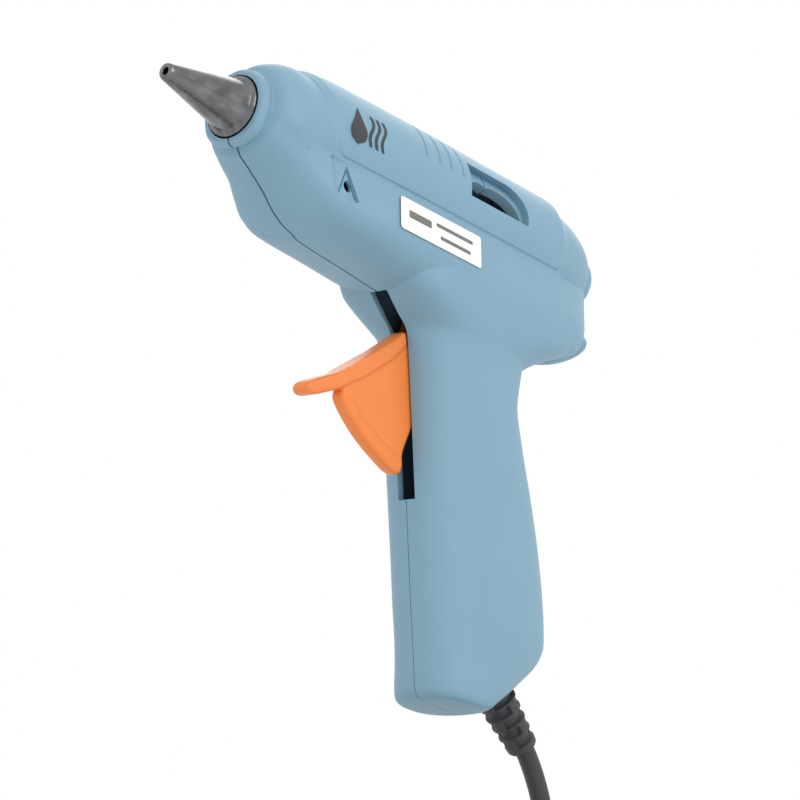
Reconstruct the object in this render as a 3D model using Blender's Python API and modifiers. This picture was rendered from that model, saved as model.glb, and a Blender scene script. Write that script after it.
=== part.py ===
"""Hot glue gun for 11 mm sticks: two moulded half casings round a heated melt chamber,
a trigger lever that drives the stick feed carriage, and a mains lead.

Metres, +Z up. The gun points along +X with its grip upright, so the barrel is pitched up.
The world origin is the middle of the grip. Most pieces are laid out in barrel axes:
x forward along the barrel axis, y to the gun's left, z square to the barrel.
"""

from math import cos, pi, radians, sin

import bmesh
import bpy
from mathutils import Matrix, Vector

MM = 0.001

# Where the barrel axes sit in the world.
BARREL_PITCH = radians(14.0)
GRIP_CENTRE = (-31.0 * MM, -80.0 * MM)  # barrel x, z of the world origin

# Fits
GAP = 0.3 * MM        # between touching pieces
WALL = 2.2 * MM       # casing wall
STICK_R = 5.6 * MM    # an 11.2 mm glue stick

# Casing: barrel stations (x, top radius, half width at the lower crease, crease z, bottom z)
BARREL_STATIONS = [
    (76.6, 9.7, 8.9, -3.6, -9.6),
    (75.8, 10.4, 9.6, -3.9, -10.3),
    (73.2, 10.6, 9.9, -4.2, -10.6),
    (72.2, 12.2, 11.0, -4.6, -11.4),
    (69.7, 14.2, 12.2, -5.6, -12.7),
    (66.0, 15.7, 13.2, -7.5, -15.0),
    (61.5, 16.3, 14.0, -10.0, -18.0),
    (57.0, 16.8, 15.4, -13.5, -21.8),
    (52.0, 17.2, 17.0, -17.0, -24.6),
    (46.0, 17.4, 17.9, -18.6, -26.0),
    (30.0, 17.6, 18.2, -18.4, -27.4),
    (10.0, 17.7, 18.3, -18.2, -29.0),
    (-15.0, 17.6, 18.3, -18.0, -29.6),
    (-39.0, 17.5, 18.2, -17.6, -29.4),
    (-43.0, 16.2, 17.6, -17.4, -28.8),
    (-52.0, 15.4, 17.0, -17.0, -27.2),
    (-58.0, 13.6, 15.8, -16.6, -24.6),
    (-61.4, 11.3, 13.8, -16.0, -21.6),
    (-62.6, 9.4, 12.0, -15.5, -19.6),
]
PANEL_EDGE_Z = -7.0   # the cylindrical top runs down to here
BAND_TILT = radians(9.8)  # the side below it leans out
# Casing: handle stations (z, front x, back x, half width)
HANDLE_STATIONS = [
    (-16.0, 17.0, -58.0, 14.0),
    (-22.0, 16.5, -57.0, 17.2),
    (-27.0, 15.0, -52.5, 17.4),
    (-30.0, 11.9, -46.6, 16.8),
    (-33.0, 8.4, -42.4, 16.2),
    (-36.5, 4.2, -39.8, 15.8),
    (-45.0, 1.6, -39.6, 15.3),
    (-56.0, -1.2, -43.6, 15.0),
    (-70.0, -4.7, -50.4, 15.0),
    (-84.0, -8.2, -56.4, 15.0),
    (-98.0, -11.7, -61.0, 15.0),
    (-107.0, -13.9, -62.9, 15.0),
    (-111.0, -14.9, -61.6, 15.0),
    (-120.0, -17.2, -53.4, 15.0),
    (-127.6, -19.1, -44.6, 14.9),
    (-129.8, -20.3, -42.0, 14.2),
    (-130.8, -23.0, -38.6, 12.0),
]
HANDLE_SQUARENESS = 2.4
REAR_BOSS = (-61.0, -65.4, 9.0, 1.0)        # x from, x to, radius, z
TAIL_BUMP = (-58.8, -18.0, 5.4, 12.5, 5.2)  # x, z, then half lengths along x, y, z

# Openings in the casing
NOZZLE_SEAT_R = 8.8 * MM
INLET_R = 6.6 * MM
SLOT_HALF = 2.9 * MM
SLOT_BOTTOM_Z = -80.0 * MM
WINDOW = (-23.1, 1.6, 0.4, 10.2)            # x from, x to, z from, z to
STAND_SOCKET = (47.6, -13.8, 1.6)           # x, z, radius

# Screws that close the casing: x, z and how far their posts reach sideways; heads on the right
SCREW_SPOTS = [
    (45.0, -20.4, 11.5), (16.5, -22.6, 11.5), (-54.0, -13.5, 14.6), (-27.0, -93.0, 13.5), (-27.0, -121.0, 12.4),
]
POST_R = 3.0 * MM
HEAD_POST_R = 3.6 * MM
PILOT_R = 1.55 * MM
SHANK_R = 1.25 * MM
HEAD_R = 2.5 * MM
HEAD_RECESS_R = 2.9 * MM
HEAD_Y = -9.0 * MM                          # seat under the heads

# Heating
NOZZLE_TIP_X = 101.8
CHAMBER_FRONT_X = 72.6
CHAMBER_REAR_X = 21.0
CHAMBER_R = 8.4
CHAMBER_NECK_R = 7.0
HEATER_X = (32.5, 53.0)
HEATER_Z = -11.6
BRACKETS = {"front_bracket": (59.7, CHAMBER_R), "rear_bracket": (25.6, CHAMBER_NECK_R)}  # x, bore
BRACKET_R = 12.6
BALL_X = 66.3
BALL_R = 2.1

# Feed and trigger
PIVOT = (-11.1 * MM, -38.0 * MM)            # trigger pin: barrel x, z
TRIGGER_SWING = radians(22.0)
CARRIAGE_X = -18.49                         # carriage pin at rest
CARRIAGE_R = 8.6
TRUNNION_R = 1.8
SPRING_FOOT = (-29.6, 0.0, -37.6)           # on the trigger's rear arm
SPRING_LENGTH = 16.4
ARM_INNER_Y = 9.6
ARM_OUTER_Y = 11.6
WEB_HALF = 2.3

# Lead
CORD_R = 2.7 * MM
RELIEF_START = Vector((-45.6 * MM, 0.0, -117.3 * MM))
RELIEF_AXIS = Vector((-0.8, 0.0, -0.6))
RELIEF_LENGTH = 26.0 * MM
CLAMP_CENTRE = Vector((-37.6 * MM, 0.0, -111.3 * MM))
LYING_Z = -120.0 * MM                       # underside of the lead where it lies
COIL_CENTRE = Vector((22.0 * MM, 0.0, LYING_Z))
COIL_MEAN_R = 30.0                          # 11 cord diameters across
COIL_HALF_WIDTH = 8.3                       # three turns beside each other
COIL_HEIGHT = 10.8                          # and two layers
PLUG_TAIL_X = 44.0
PLUG_BODY_X = (60.0, 90.0)
PLUG_Y = -35.4
PLUG_Z = LYING_Z / MM + 7.0

PARTS = None
CUTTERS = None
AXES = None
WORLD_AXES = None


# ---------------------------------------------------------------- scene and helpers

def clear_scene():
    for obj in list(bpy.data.objects):
        bpy.data.objects.remove(obj, do_unlink=True)


def new_collection(name):
    collection = bpy.data.collections.new(name)
    bpy.context.scene.collection.children.link(collection)
    return collection


def material(name, colour, roughness, metallic=0.0):
    found = bpy.data.materials.get(name)
    if found:
        return found
    made = bpy.data.materials.new(name)
    made.use_nodes = True
    shader = made.node_tree.nodes["Principled BSDF"]
    shader.inputs["Base Color"].default_value = (*colour, 1.0)
    shader.inputs["Roughness"].default_value = roughness
    shader.inputs["Metallic"].default_value = metallic
    made.diffuse_color = (*colour, 1.0)
    return made


def casing_blue():
    return material("casing_blue", (0.24, 0.44, 0.58), 0.5)


def trigger_orange():
    return material("trigger_orange", (0.85, 0.24, 0.05), 0.35)


def black_rubber():
    return material("black_rubber", (0.03, 0.03, 0.032), 0.6)


def zinc():
    return material("zinc", (0.45, 0.45, 0.45), 0.35, 1.0)


def steel():
    return material("steel", (0.55, 0.55, 0.56), 0.3, 1.0)


def add_object(name, mesh, finish, parent, collection=None):
    obj = bpy.data.objects.new(name, mesh)
    (collection or PARTS).objects.link(obj)
    obj.parent = parent
    if finish:
        mesh.materials.append(finish)
        mesh.shade_smooth()
        mesh.set_sharp_from_angle(angle=radians(35))
    if collection is CUTTERS:
        obj.hide_render = True
        obj.display_type = "WIRE"
    return obj


def from_bmesh(name, bm, finish, parent=None, cutter=False):
    bmesh.ops.recalc_face_normals(bm, faces=bm.faces)
    mesh = bpy.data.meshes.new(name)
    bm.to_mesh(mesh)
    bm.free()
    return add_object(name, mesh, finish, parent or AXES, CUTTERS if cutter else PARTS)


def boolean(target, tool, operation):
    step = target.modifiers.new(tool.name, "BOOLEAN")
    step.operation = operation
    step.object = tool
    step.solver = "EXACT"


def cut(target, tool):
    boolean(target, tool, "DIFFERENCE")


def join(target, tool):
    boolean(target, tool, "UNION")


def loft(bm, rings):
    """Skin closed rings of equal length into one closed tube with flat ends."""
    loops = []
    for ring in rings:
        loops.append([bm.verts.new(co) for co in ring])
    count = len(loops[0])
    for near, far in zip(loops, loops[1:]):
        for i in range(count):
            j = (i + 1) % count
            bm.faces.new((near[i], near[j], far[j], far[i]))
    bm.faces.new(loops[0])
    bm.faces.new(list(reversed(loops[-1])))


def add_box(bm, low, high):
    size = Vector(high) - Vector(low)
    middle = (Vector(high) + Vector(low)) / 2
    matrix = Matrix.Translation(middle) @ Matrix.Diagonal((*size, 1.0))
    bmesh.ops.create_cube(bm, size=1.0, matrix=matrix)


def add_rod(bm, start, end, radius, sides=20, end_radius=None):
    """A closed cylinder or cone frustum between two points."""
    start = Vector(start)
    end = Vector(end)
    turn = (end - start).to_track_quat("Z", "Y").to_matrix().to_4x4()
    matrix = Matrix.Translation((start + end) / 2) @ turn
    bmesh.ops.create_cone(
        bm, cap_ends=True, segments=sides, radius1=radius,
        radius2=radius if end_radius is None else end_radius,
        depth=(end - start).length, matrix=matrix,
    )


def box(name, low, high, finish, bevel=0.0, parent=None, cutter=False):
    bm = bmesh.new()
    add_box(bm, low, high)
    obj = from_bmesh(name, bm, finish, parent, cutter)
    if bevel:
        edge = obj.modifiers.new("rounded_edges", "BEVEL")
        edge.width = bevel
        edge.segments = 2
    return obj


def rod(name, start, end, radius, finish, sides=20, parent=None, cutter=False):
    bm = bmesh.new()
    add_rod(bm, start, end, radius, sides)
    return from_bmesh(name, bm, finish, parent, cutter)


def turned(name, profile, finish, place, axis=(1.0, 0.0, 0.0), sides=28, ring=False, cutter=False, parent=None):
    """Turn a profile of (along, radius) in millimetres, given from the front end to the back
    down its outer side; a ring's profile comes back along its bore."""
    points = [(radius * MM, 0.0, along * MM) for along, radius in profile]
    edges = [(i, i + 1) for i in range(len(points) - 1)]
    if ring:
        edges.append((len(points) - 1, 0))
    mesh = bpy.data.meshes.new(name)
    mesh.from_pydata(points, edges, [])
    obj = add_object(name, mesh, finish, parent or AXES, CUTTERS if cutter else PARTS)
    obj.location = place
    obj.rotation_euler = Vector(axis).to_track_quat("Z", "Y").to_euler()
    screw = obj.modifiers.new("turned", "SCREW")
    screw.axis = "Z"
    screw.steps = sides
    screw.render_steps = sides
    screw.use_merge_vertices = True
    screw.merge_threshold = 0.00001
    screw.use_smooth_shade = True
    return obj


def plate(name, outline, half_thickness, finish, parent=None, cutter=False):
    """A flat outline of (x, z) in millimetres, thickened both ways along y."""
    curve = bpy.data.curves.new(name, "CURVE")
    curve.dimensions = "2D"
    curve.fill_mode = "BOTH"
    curve.extrude = half_thickness * MM
    spline = curve.splines.new("POLY")
    spline.points.add(len(outline) - 1)
    for point, (x, z) in zip(spline.points, outline):
        point.co = (x * MM, z * MM, 0.0, 1.0)
    spline.use_cyclic_u = True
    drawn = bpy.data.objects.new(name + "_outline", curve)
    CUTTERS.objects.link(drawn)
    mesh = solid_mesh(drawn, name)
    mesh.transform(Matrix.Rotation(radians(90), 4, "X"))
    return add_object(name, mesh, finish, parent or AXES, CUTTERS if cutter else PARTS)


def solid_mesh(curve_object, name):
    """The welded mesh of a curve object, which is then removed."""
    bpy.context.view_layer.update()
    graph = bpy.context.evaluated_depsgraph_get()
    mesh = bpy.data.meshes.new_from_object(curve_object.evaluated_get(graph))
    mesh.name = name
    bm = bmesh.new()
    bm.from_mesh(mesh)
    bmesh.ops.remove_doubles(bm, verts=bm.verts, dist=0.000001)
    bmesh.ops.recalc_face_normals(bm, faces=bm.faces)
    bm.to_mesh(mesh)
    bm.free()
    bpy.data.objects.remove(curve_object, do_unlink=True)
    return mesh


def smooth_route(points, spacing):
    """Evenly spaced points on one smooth curve through the route's own points."""
    points = [Vector(p) for p in points]
    ends = [2 * points[0] - points[1]] + points + [2 * points[-1] - points[-2]]
    dense = []
    for a, b, c, d in zip(ends, ends[1:], ends[2:], ends[3:]):
        for i in range(24):
            t = i / 24
            dense.append(0.5 * (2 * b + (c - a) * t + (2 * a - 5 * b + 4 * c - d) * t * t
                                + (3 * b - a - 3 * c + d) * t ** 3))
    dense.append(points[-1])
    lengths = [0.0]
    for a, b in zip(dense, dense[1:]):
        lengths.append(lengths[-1] + (b - a).length)
    count = max(2, round(lengths[-1] / spacing))
    even = []
    j = 0
    for i in range(count + 1):
        want = lengths[-1] * i / count
        while j < len(dense) - 2 and lengths[j + 1] < want:
            j += 1
        share = (want - lengths[j]) / max(lengths[j + 1] - lengths[j], 1e-9)
        even.append(dense[j].lerp(dense[j + 1], min(share, 1.0)))
    return even


def tube(name, points, radius, finish, parent=None, resolution=2):
    curve = bpy.data.curves.new(name, "CURVE")
    curve.dimensions = "3D"
    curve.bevel_depth = radius
    curve.bevel_resolution = resolution
    curve.use_fill_caps = True
    spline = curve.splines.new("POLY")
    spline.points.add(len(points) - 1)
    for point, co in zip(spline.points, points):
        point.co = (*co, 1.0)
    obj = bpy.data.objects.new(name, curve)
    PARTS.objects.link(obj)
    obj.parent = parent
    curve.materials.append(finish)
    return obj


def world_point(barrel_point):
    """A point in barrel axes, seen in the world."""
    return AXES.matrix_world @ Vector(barrel_point)


def set_origin(obj, point):
    """Move an object's origin to a point in barrel axes; its shape stays where it is."""
    obj.data.transform(Matrix.Translation(-Vector(point)))
    obj.location = point


# ---------------------------------------------------------------- casing

def barrel_ring(station, inset):
    """One cross section of the barrel: a round top, flared sides and a shallow round bottom."""
    x, radius, width, crease_z, bottom_z = station
    radius -= inset
    width -= inset
    bottom_z += inset
    panel_z = max(PANEL_EDGE_Z, crease_z + 1.2) * min(1.0, radius / 16.0)
    half = []
    low = -min(pi / 3, abs(panel_z) / radius)
    for i in range(9):
        angle = pi / 2 + (low - pi / 2) * i / 8
        half.append((radius * cos(angle), radius * sin(angle)))
    half.append((width, crease_z))
    for i in range(1, 4):
        angle = pi / 2 * i / 4
        half.append((width * cos(angle), crease_z + (bottom_z - crease_z) * sin(angle)))
    ring = half + [(0.0, bottom_z)] + [(-y, z) for y, z in reversed(half[1:])]
    return [(x * MM, y * MM, z * MM) for y, z in ring]


def handle_ring(station, inset):
    """One level cross section of the handle, a rounded oblong."""
    z, front, back, width = station
    front -= inset
    back += inset
    width -= inset
    middle = (front + back) / 2
    length = (front - back) / 2
    ring = []
    for i in range(22):
        angle = 2 * pi * i / 22
        c = abs(cos(angle)) ** (2 / HANDLE_SQUARENESS) * (1 if cos(angle) >= 0 else -1)
        s = abs(sin(angle)) ** (2 / HANDLE_SQUARENESS) * (1 if sin(angle) >= 0 else -1)
        ring.append(((middle + length * c) * MM, width * s * MM, z * MM))
    return ring


def barrel_body(name, inset):
    stations = list(BARREL_STATIONS)
    if inset:
        front = stations[0]
        back = stations[-1]
        stations[0] = (front[0] - 5.0, *front[1:])
        stations = [stations[0]] + [s for s in stations[1:-1] if back[0] + inset < s[0] < front[0] - 5.0]
        stations.append((back[0] + inset, *back[1:]))
    bm = bmesh.new()
    loft(bm, [barrel_ring(s, inset) for s in stations])
    return from_bmesh(name, bm, None, cutter=True)


def handle_body(name, inset):
    stations = list(HANDLE_STATIONS)
    if inset:
        floor_station = stations[-2]
        stations = stations[:-2] + [(floor_station[0] + inset - 0.6, *stations[-3][1:])]
        stations = [s for s in stations if s[0] > -128.3]
    bm = bmesh.new()
    loft(bm, [handle_ring(s, inset) for s in stations])
    return from_bmesh(name, bm, None, cutter=True)


def casing_posts(name, side, radius):
    """The posts that the screws run through, from the seam out to the casing's wall."""
    bm = bmesh.new()
    for x, z, reach in SCREW_SPOTS:
        add_rod(bm, (x * MM, side * 0.5 * GAP, z * MM), (x * MM, side * reach * MM, z * MM), radius, 16)
    return from_bmesh(name, bm, None, cutter=True)


def screw_holes(name, y_from, y_to, radius):
    bm = bmesh.new()
    for x, z, _ in SCREW_SPOTS:
        add_rod(bm, (x * MM, y_from, z * MM), (x * MM, y_to, z * MM), radius, 16)
    return from_bmesh(name, bm, None, cutter=True)


def casing_tools():
    """The shapes that both half casings are made from."""
    tools = {}
    tools["barrel"] = barrel_body("outer_barrel", 0.0)
    tools["handle"] = handle_body("outer_handle", 0.0)
    tools["inner_barrel"] = barrel_body("inner_barrel", WALL / MM)
    tools["inner_handle"] = handle_body("inner_handle", WALL / MM)
    x_from, x_to, radius, z = REAR_BOSS
    tools["boss"] = turned(
        "rear_boss", [(x_from, 0), (x_from, radius), (x_to + 1.6, radius), (x_to + 0.4, radius - 0.8),
                      (x_to, radius - 2.0), (x_to, 0)],
        None, (0.0, 0.0, z * MM), sides=24, cutter=True)
    x, z, long, wide, high = TAIL_BUMP
    bm = bmesh.new()
    shape = Matrix.Translation((x * MM, 0, z * MM)) @ Matrix.Diagonal((long * MM, wide * MM, high * MM, 1.0))
    bmesh.ops.create_uvsphere(bm, u_segments=16, v_segments=10, radius=1.0, matrix=shape)
    tools["bump"] = from_bmesh("tail_bump", bm, None, cutter=True)
    tools["nozzle_seat"] = rod("nozzle_seat", (60 * MM, 0, 0), (90 * MM, 0, 0), NOZZLE_SEAT_R, None, 28, cutter=True)
    tools["inlet"] = rod("stick_inlet", (-80 * MM, 0, 0), (-50 * MM, 0, 0), INLET_R, None, 24, cutter=True)
    tools["slot"] = plate(
        "trigger_slot",
        [(10.4, -24.4), (10.4, -30.2), (30.0, -34.0), (30.0, SLOT_BOTTOM_Z / MM), (-18.0, SLOT_BOTTOM_Z / MM),
         (-9.0, -50.0), (-3.0, -34.0), (-2.0, -24.4)],
        SLOT_HALF / MM, None, cutter=True)
    tools["window"] = window_cutter()
    tools["relief_hole"] = rod(
        "relief_hole", RELIEF_START - RELIEF_AXIS * 4 * MM, RELIEF_START + RELIEF_AXIS * 22 * MM,
        6.4 * MM, None, 24, cutter=True)
    return tools


def window_cutter():
    """The stick window: square at the front, a quarter round at the back."""
    x_from, x_to, z_from, z_to = WINDOW
    round_r = 8.4
    outline = [(x_to, z_from), (x_to, z_to), (x_from + round_r, z_to)]
    for i in range(1, 7):
        angle = pi / 2 * i / 6
        outline.append((x_from + round_r * (1 - sin(angle)), z_to - round_r * (1 - cos(angle))))
    outline.append((x_from, z_from))
    window = plate("stick_window", outline, 4.0, None, cutter=True)
    window.location.y = 16.6 * MM
    return window


def spring_shelf(side):
    """The rib that the return spring's top end bears on, half of it in each casing."""
    bm = bmesh.new()
    rib_box(bm, side, (-33.0, -23.0), (0.5 * GAP / MM, 17.0), (-20.5, -18.4))
    return from_bmesh("spring_shelf_" + side_name(side), bm, None, cutter=True)


def inside_ribs(side):
    """Pairs of ribs that hold the chamber's rings, a rail under the carriage's pin and a guide over its ring."""
    bm = bmesh.new()
    for x, _ in BRACKETS.values():
        for rib in (x - 1.8, x + 1.8):
            rib_box(bm, side, (rib - 0.6, rib + 0.6), (9.8, 14.6), (-8.0, 6.0))
    rib_box(bm, side, (-24.5, 1.5), (12.2, 16.6), (-4.2, -2.2))
    rib_box(bm, side, (-24.5, 1.5), (1.2, 3.2), (9.0, 16.6))
    return from_bmesh("inside_ribs_" + side_name(side), bm, None, cutter=True)


def rib_box(bm, side, x_span, y_span, z_span):
    near, far = sorted(side * y * MM for y in y_span)
    add_box(bm, (x_span[0] * MM, near, z_span[0] * MM), (x_span[1] * MM, far, z_span[1] * MM))


def side_name(side):
    return "left" if side > 0 else "right"


def pin_socket(side):
    x, z = PIVOT
    return rod("pin_socket_" + side_name(side),
               (x, side * 12.2 * MM, z), (x, side * 14.9 * MM, z), 3.6 * MM, None, 20, cutter=True)


def make_half_casing(name, side, tools):
    shell = box(name, (-75 * MM, 0.5 * GAP if side > 0 else -26 * MM, -140 * MM),
                (85 * MM, 26 * MM if side > 0 else -0.5 * GAP, 30 * MM), casing_blue())
    outer = combined_outside(tools)
    boolean(shell, outer, "INTERSECT")
    cut(shell, tools["inner_barrel"])
    cut(shell, tools["inner_handle"])
    return shell


def combined_outside(tools):
    body = tools["barrel"]
    if not body.modifiers:
        join(body, tools["handle"])
        join(body, tools["boss"])
        join(body, tools["bump"])
    return body


def make_left_shell(tools):
    shell = make_half_casing("left_shell", 1, tools)
    join(shell, casing_posts("left_posts", 1, POST_R))
    join(shell, clamp_posts())
    add_common_features(shell, 1, tools)
    cut(shell, screw_holes("left_pilots", -1 * MM, 9.0 * MM, PILOT_R))
    cut(shell, clamp_pilots())
    cut(shell, tools["window"])
    return shell


def make_right_shell(tools):
    shell = make_half_casing("right_shell", -1, tools)
    join(shell, casing_posts("right_posts", -1, HEAD_POST_R))
    add_common_features(shell, -1, tools)
    cut(shell, screw_holes("right_clearance", -12 * MM, 1 * MM, PILOT_R))
    cut(shell, screw_holes("head_recesses", -24 * MM, HEAD_Y, HEAD_RECESS_R))
    return shell


def add_common_features(shell, side, tools):
    join(shell, spring_shelf(side))
    join(shell, inside_ribs(side))
    join(shell, pin_socket(side))
    x, z = PIVOT
    cut(shell, rod(shell.name + "_pin_bore", (x, side * 11 * MM, z), (x, side * 14.1 * MM, z),
                   1.9 * MM, None, 20, cutter=True))
    cut(shell, tools["nozzle_seat"])
    cut(shell, tools["inlet"])
    cut(shell, tools["slot"])
    cut(shell, tools["relief_hole"])
    x, z, radius = STAND_SOCKET
    cut(shell, rod(shell.name + "_stand_socket", (x * MM, side * 13 * MM, z * MM),
                   (x * MM, side * 22 * MM, z * MM), radius * MM, None, 16, cutter=True))


def make_housing_screws():
    """Self tapping pan head screws, driven from the right."""
    for number, (x, z, _) in enumerate(SCREW_SPOTS, 1):
        turned("housing_screw_%d" % number,
               [(0.0, 0.0), (0.0, 1.2), (-0.5, 2.1), (-1.6, HEAD_R / MM), (-1.7, SHANK_R / MM),
                (-16.0, SHANK_R / MM), (-17.2, 0.0)],
               steel(), (x * MM, HEAD_Y - 1.7 * MM - GAP, z * MM), axis=(0.0, -1.0, 0.0), sides=12)


def make_label():
    """The rating label's blank on the left side of the barrel."""
    length, height, thickness = 32.4 * MM, 8.0 * MM, 0.25 * MM
    label = box("label", (-length / 2, -thickness / 2, -height / 2), (length / 2, thickness / 2, height / 2),
                material("label_white", (0.85, 0.85, 0.82), 0.4))
    label.location = (11.0 * MM, 17.98 * MM, -14.1 * MM)
    label.rotation_euler = (BAND_TILT, 0.0, 0.0)


# ---------------------------------------------------------------- heating

def make_nozzle():
    tip = NOZZLE_TIP_X
    profile = [
        (tip, 1.5), (tip - 0.2, 2.05), (tip - 0.8, 2.3), (78.6, 6.9), (77.4, 7.3), (77.0, 8.3),
        (75.2, 8.4), (74.6, 8.0), (73.0, 8.0), (73.0, 4.9), (65.4, 4.9), (65.0, 4.5), (65.0, 2.4), (74.0, 2.4),
        (74.0, 1.5), (97.0, 1.1), (tip - 0.6, 0.9), (tip, 1.1),
    ]
    return turned("nozzle", profile, zinc(), (0, 0, 0), sides=24, ring=True)


def make_melt_chamber():
    """A cast aluminium tube for the stick with a heater pocket underneath."""
    front = CHAMBER_FRONT_X
    back = CHAMBER_REAR_X
    radius = CHAMBER_R
    profile = [
        (front, 6.8), (front - 0.8, 7.6), (64.0, 7.6), (63.0, radius), (back + 9, radius),
        (back + 8, CHAMBER_NECK_R), (back, CHAMBER_NECK_R), (back, STICK_R / MM + 0.4),
        (54.0, STICK_R / MM + 0.3), (62.0, 1.5), (64.6, 1.5), (64.6, 5.2), (front, 5.2),
    ]
    chamber = turned("melt_chamber", profile, zinc(), (0, 0, 0), sides=24, ring=True)
    x0, x1 = HEATER_X
    saddle = box("heater_saddle", ((x0 - 2.5) * MM, -8.4 * MM, -14.6 * MM), ((x1 + 2.5) * MM, 8.4 * MM, -6.6 * MM),
                 None, cutter=True)
    join(chamber, saddle)
    pocket = box("heater_pocket", ((x0 - 4) * MM, -6.6 * MM, -13.3 * MM), ((x1 + 0.6) * MM, 6.6 * MM, -9.9 * MM),
                 None, cutter=True)
    cut(chamber, pocket)
    return chamber


def make_heater():
    """A PTC pill between two brass electrodes, pushed up into the chamber's pocket."""
    x0, x1 = HEATER_X
    z = HEATER_Z
    box("ptc_heater", (x0 * MM, -5.6 * MM, (z - 0.75) * MM), (x1 * MM, 5.6 * MM, (z + 0.75) * MM),
        material("ceramic", (0.75, 0.72, 0.65), 0.6))
    brass = material("brass", (0.7, 0.5, 0.2), 0.35, 1.0)
    box("electrode_upper", ((x0 - 4.2) * MM, -4.6 * MM, (z + 1.05) * MM), (x1 * MM, 4.6 * MM, (z + 1.4) * MM), brass)
    box("electrode_lower", ((x0 - 4.2) * MM, -4.6 * MM, (z - 1.4) * MM), (x1 * MM, 4.6 * MM, (z - 1.05) * MM), brass)
    clip = plate("heater_clip", [(36.0, -15.0), (48.0, -15.0), (48.0, -15.7), (36.0, -15.7)], 8.9, steel())
    return clip


def make_chamber_rings():
    """Phenolic rings that hold the hot chamber off the casing's ribs."""
    phenolic = material("phenolic", (0.18, 0.09, 0.05), 0.6)
    for name, (x, bore) in BRACKETS.items():
        inner = bore + GAP / MM
        turned(name, [(0.9, inner), (0.9, BRACKET_R), (-0.9, BRACKET_R), (-0.9, inner)], phenolic,
               (x * MM, 0, 0), sides=28, ring=True)
    x = BRACKETS["rear_bracket"][0]
    cut(bpy.data.objects["rear_bracket"],
        box("wire_notch", ((x - 3) * MM, -5.6 * MM, -16 * MM), ((x + 3) * MM, 5.6 * MM, -8.9 * MM), None, cutter=True))


def make_inlet_sleeve():
    """A silicone sleeve that seals the stick into the chamber, and its wire clip."""
    lip = CHAMBER_NECK_R + GAP / MM
    end = CHAMBER_REAR_X - GAP / MM
    turned("inlet_sleeve",
           [(24.0, lip), (24.0, 8.5), (12.0, 8.5), (9.0, 8.9), (7.0, 8.9), (7.0, 7.8), (10.0, 5.9), (end, 5.9), (end, lip)],
           material("silicone_white", (0.75, 0.73, 0.68), 0.5), (0, 0, 0), sides=28, ring=True)
    turned("sleeve_clip", [(0.6, 8.8), (0.6, 9.7), (-0.6, 9.7), (-0.6, 8.8)], steel(), (21.6 * MM, 0, 0),
           sides=24, ring=True)


def make_drip_valve():
    """The ball that closes the chamber's outlet, and the spring in front of it."""
    bm = bmesh.new()
    bmesh.ops.create_uvsphere(bm, u_segments=12, v_segments=8, radius=BALL_R * MM)
    ball = from_bmesh("nozzle_ball", bm, steel())
    ball.location = (BALL_X * MM, 0, 0)
    coil_spring("ball_spring", (BALL_X + BALL_R + 1.5, 0, 0), (73.6, 0, 0), 1.75, 0.25, 4)


# ---------------------------------------------------------------- feed and trigger

def make_feed_carriage():
    """The ring that pushes the stick: two side pins ride in the trigger's fork."""
    profile = [(4.2, 6.0), (4.2, 7.6), (3.2, CARRIAGE_R), (-3.2, CARRIAGE_R), (-4.2, 7.6), (-4.2, 6.0)]
    carriage = turned("feed_carriage", profile, trigger_orange(), (CARRIAGE_X * MM, 0, 0), sides=28, ring=True)
    bm = bmesh.new()
    for side in (1, -1):
        add_rod(bm, (CARRIAGE_X * MM, side * 7.4 * MM, 0), (CARRIAGE_X * MM, side * 11.4 * MM, 0), TRUNNION_R * MM, 16)
    pins = from_bmesh("carriage_pins", bm, None, cutter=True)
    join(carriage, pins)
    notch = box("jaw_notch", ((CARRIAGE_X - 2.6) * MM, -2.6 * MM, -12 * MM), ((CARRIAGE_X + 5) * MM, 2.6 * MM, -4.5 * MM),
                None, cutter=True)
    cut(carriage, notch)
    return carriage


def make_grip_jaw():
    """The small toothed lever in the carriage that bites the stick from below."""
    jaw = plate("grip_jaw",
                [(-1.9, -1.3), (2.6, -1.3), (3.6, 0.2), (3.3, 1.0), (2.6, 0.6), (2.1, 1.1), (1.4, 0.6), (0.9, 1.0),
                 (0.2, 0.5), (-1.9, 0.4)],
                2.2, steel())
    jaw.location = ((CARRIAGE_X) * MM, 0, -7.7 * MM)
    return jaw


def fork_arm_outline():
    """One arm of the fork, from the hub up to its open slot, upright."""
    return [(-2.4, -3.2), (2.4, -3.2), (3.5, 0.0), (3.9, 20.0), (3.9, 40.6), (TRUNNION_R + 0.35, 41.4), (TRUNNION_R + 0.35, 35.6),
            (-TRUNNION_R - 0.35, 35.6), (-TRUNNION_R - 0.35, 41.4), (-3.9, 40.6), (-3.9, 20.0), (-3.5, 0.0)]


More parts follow.
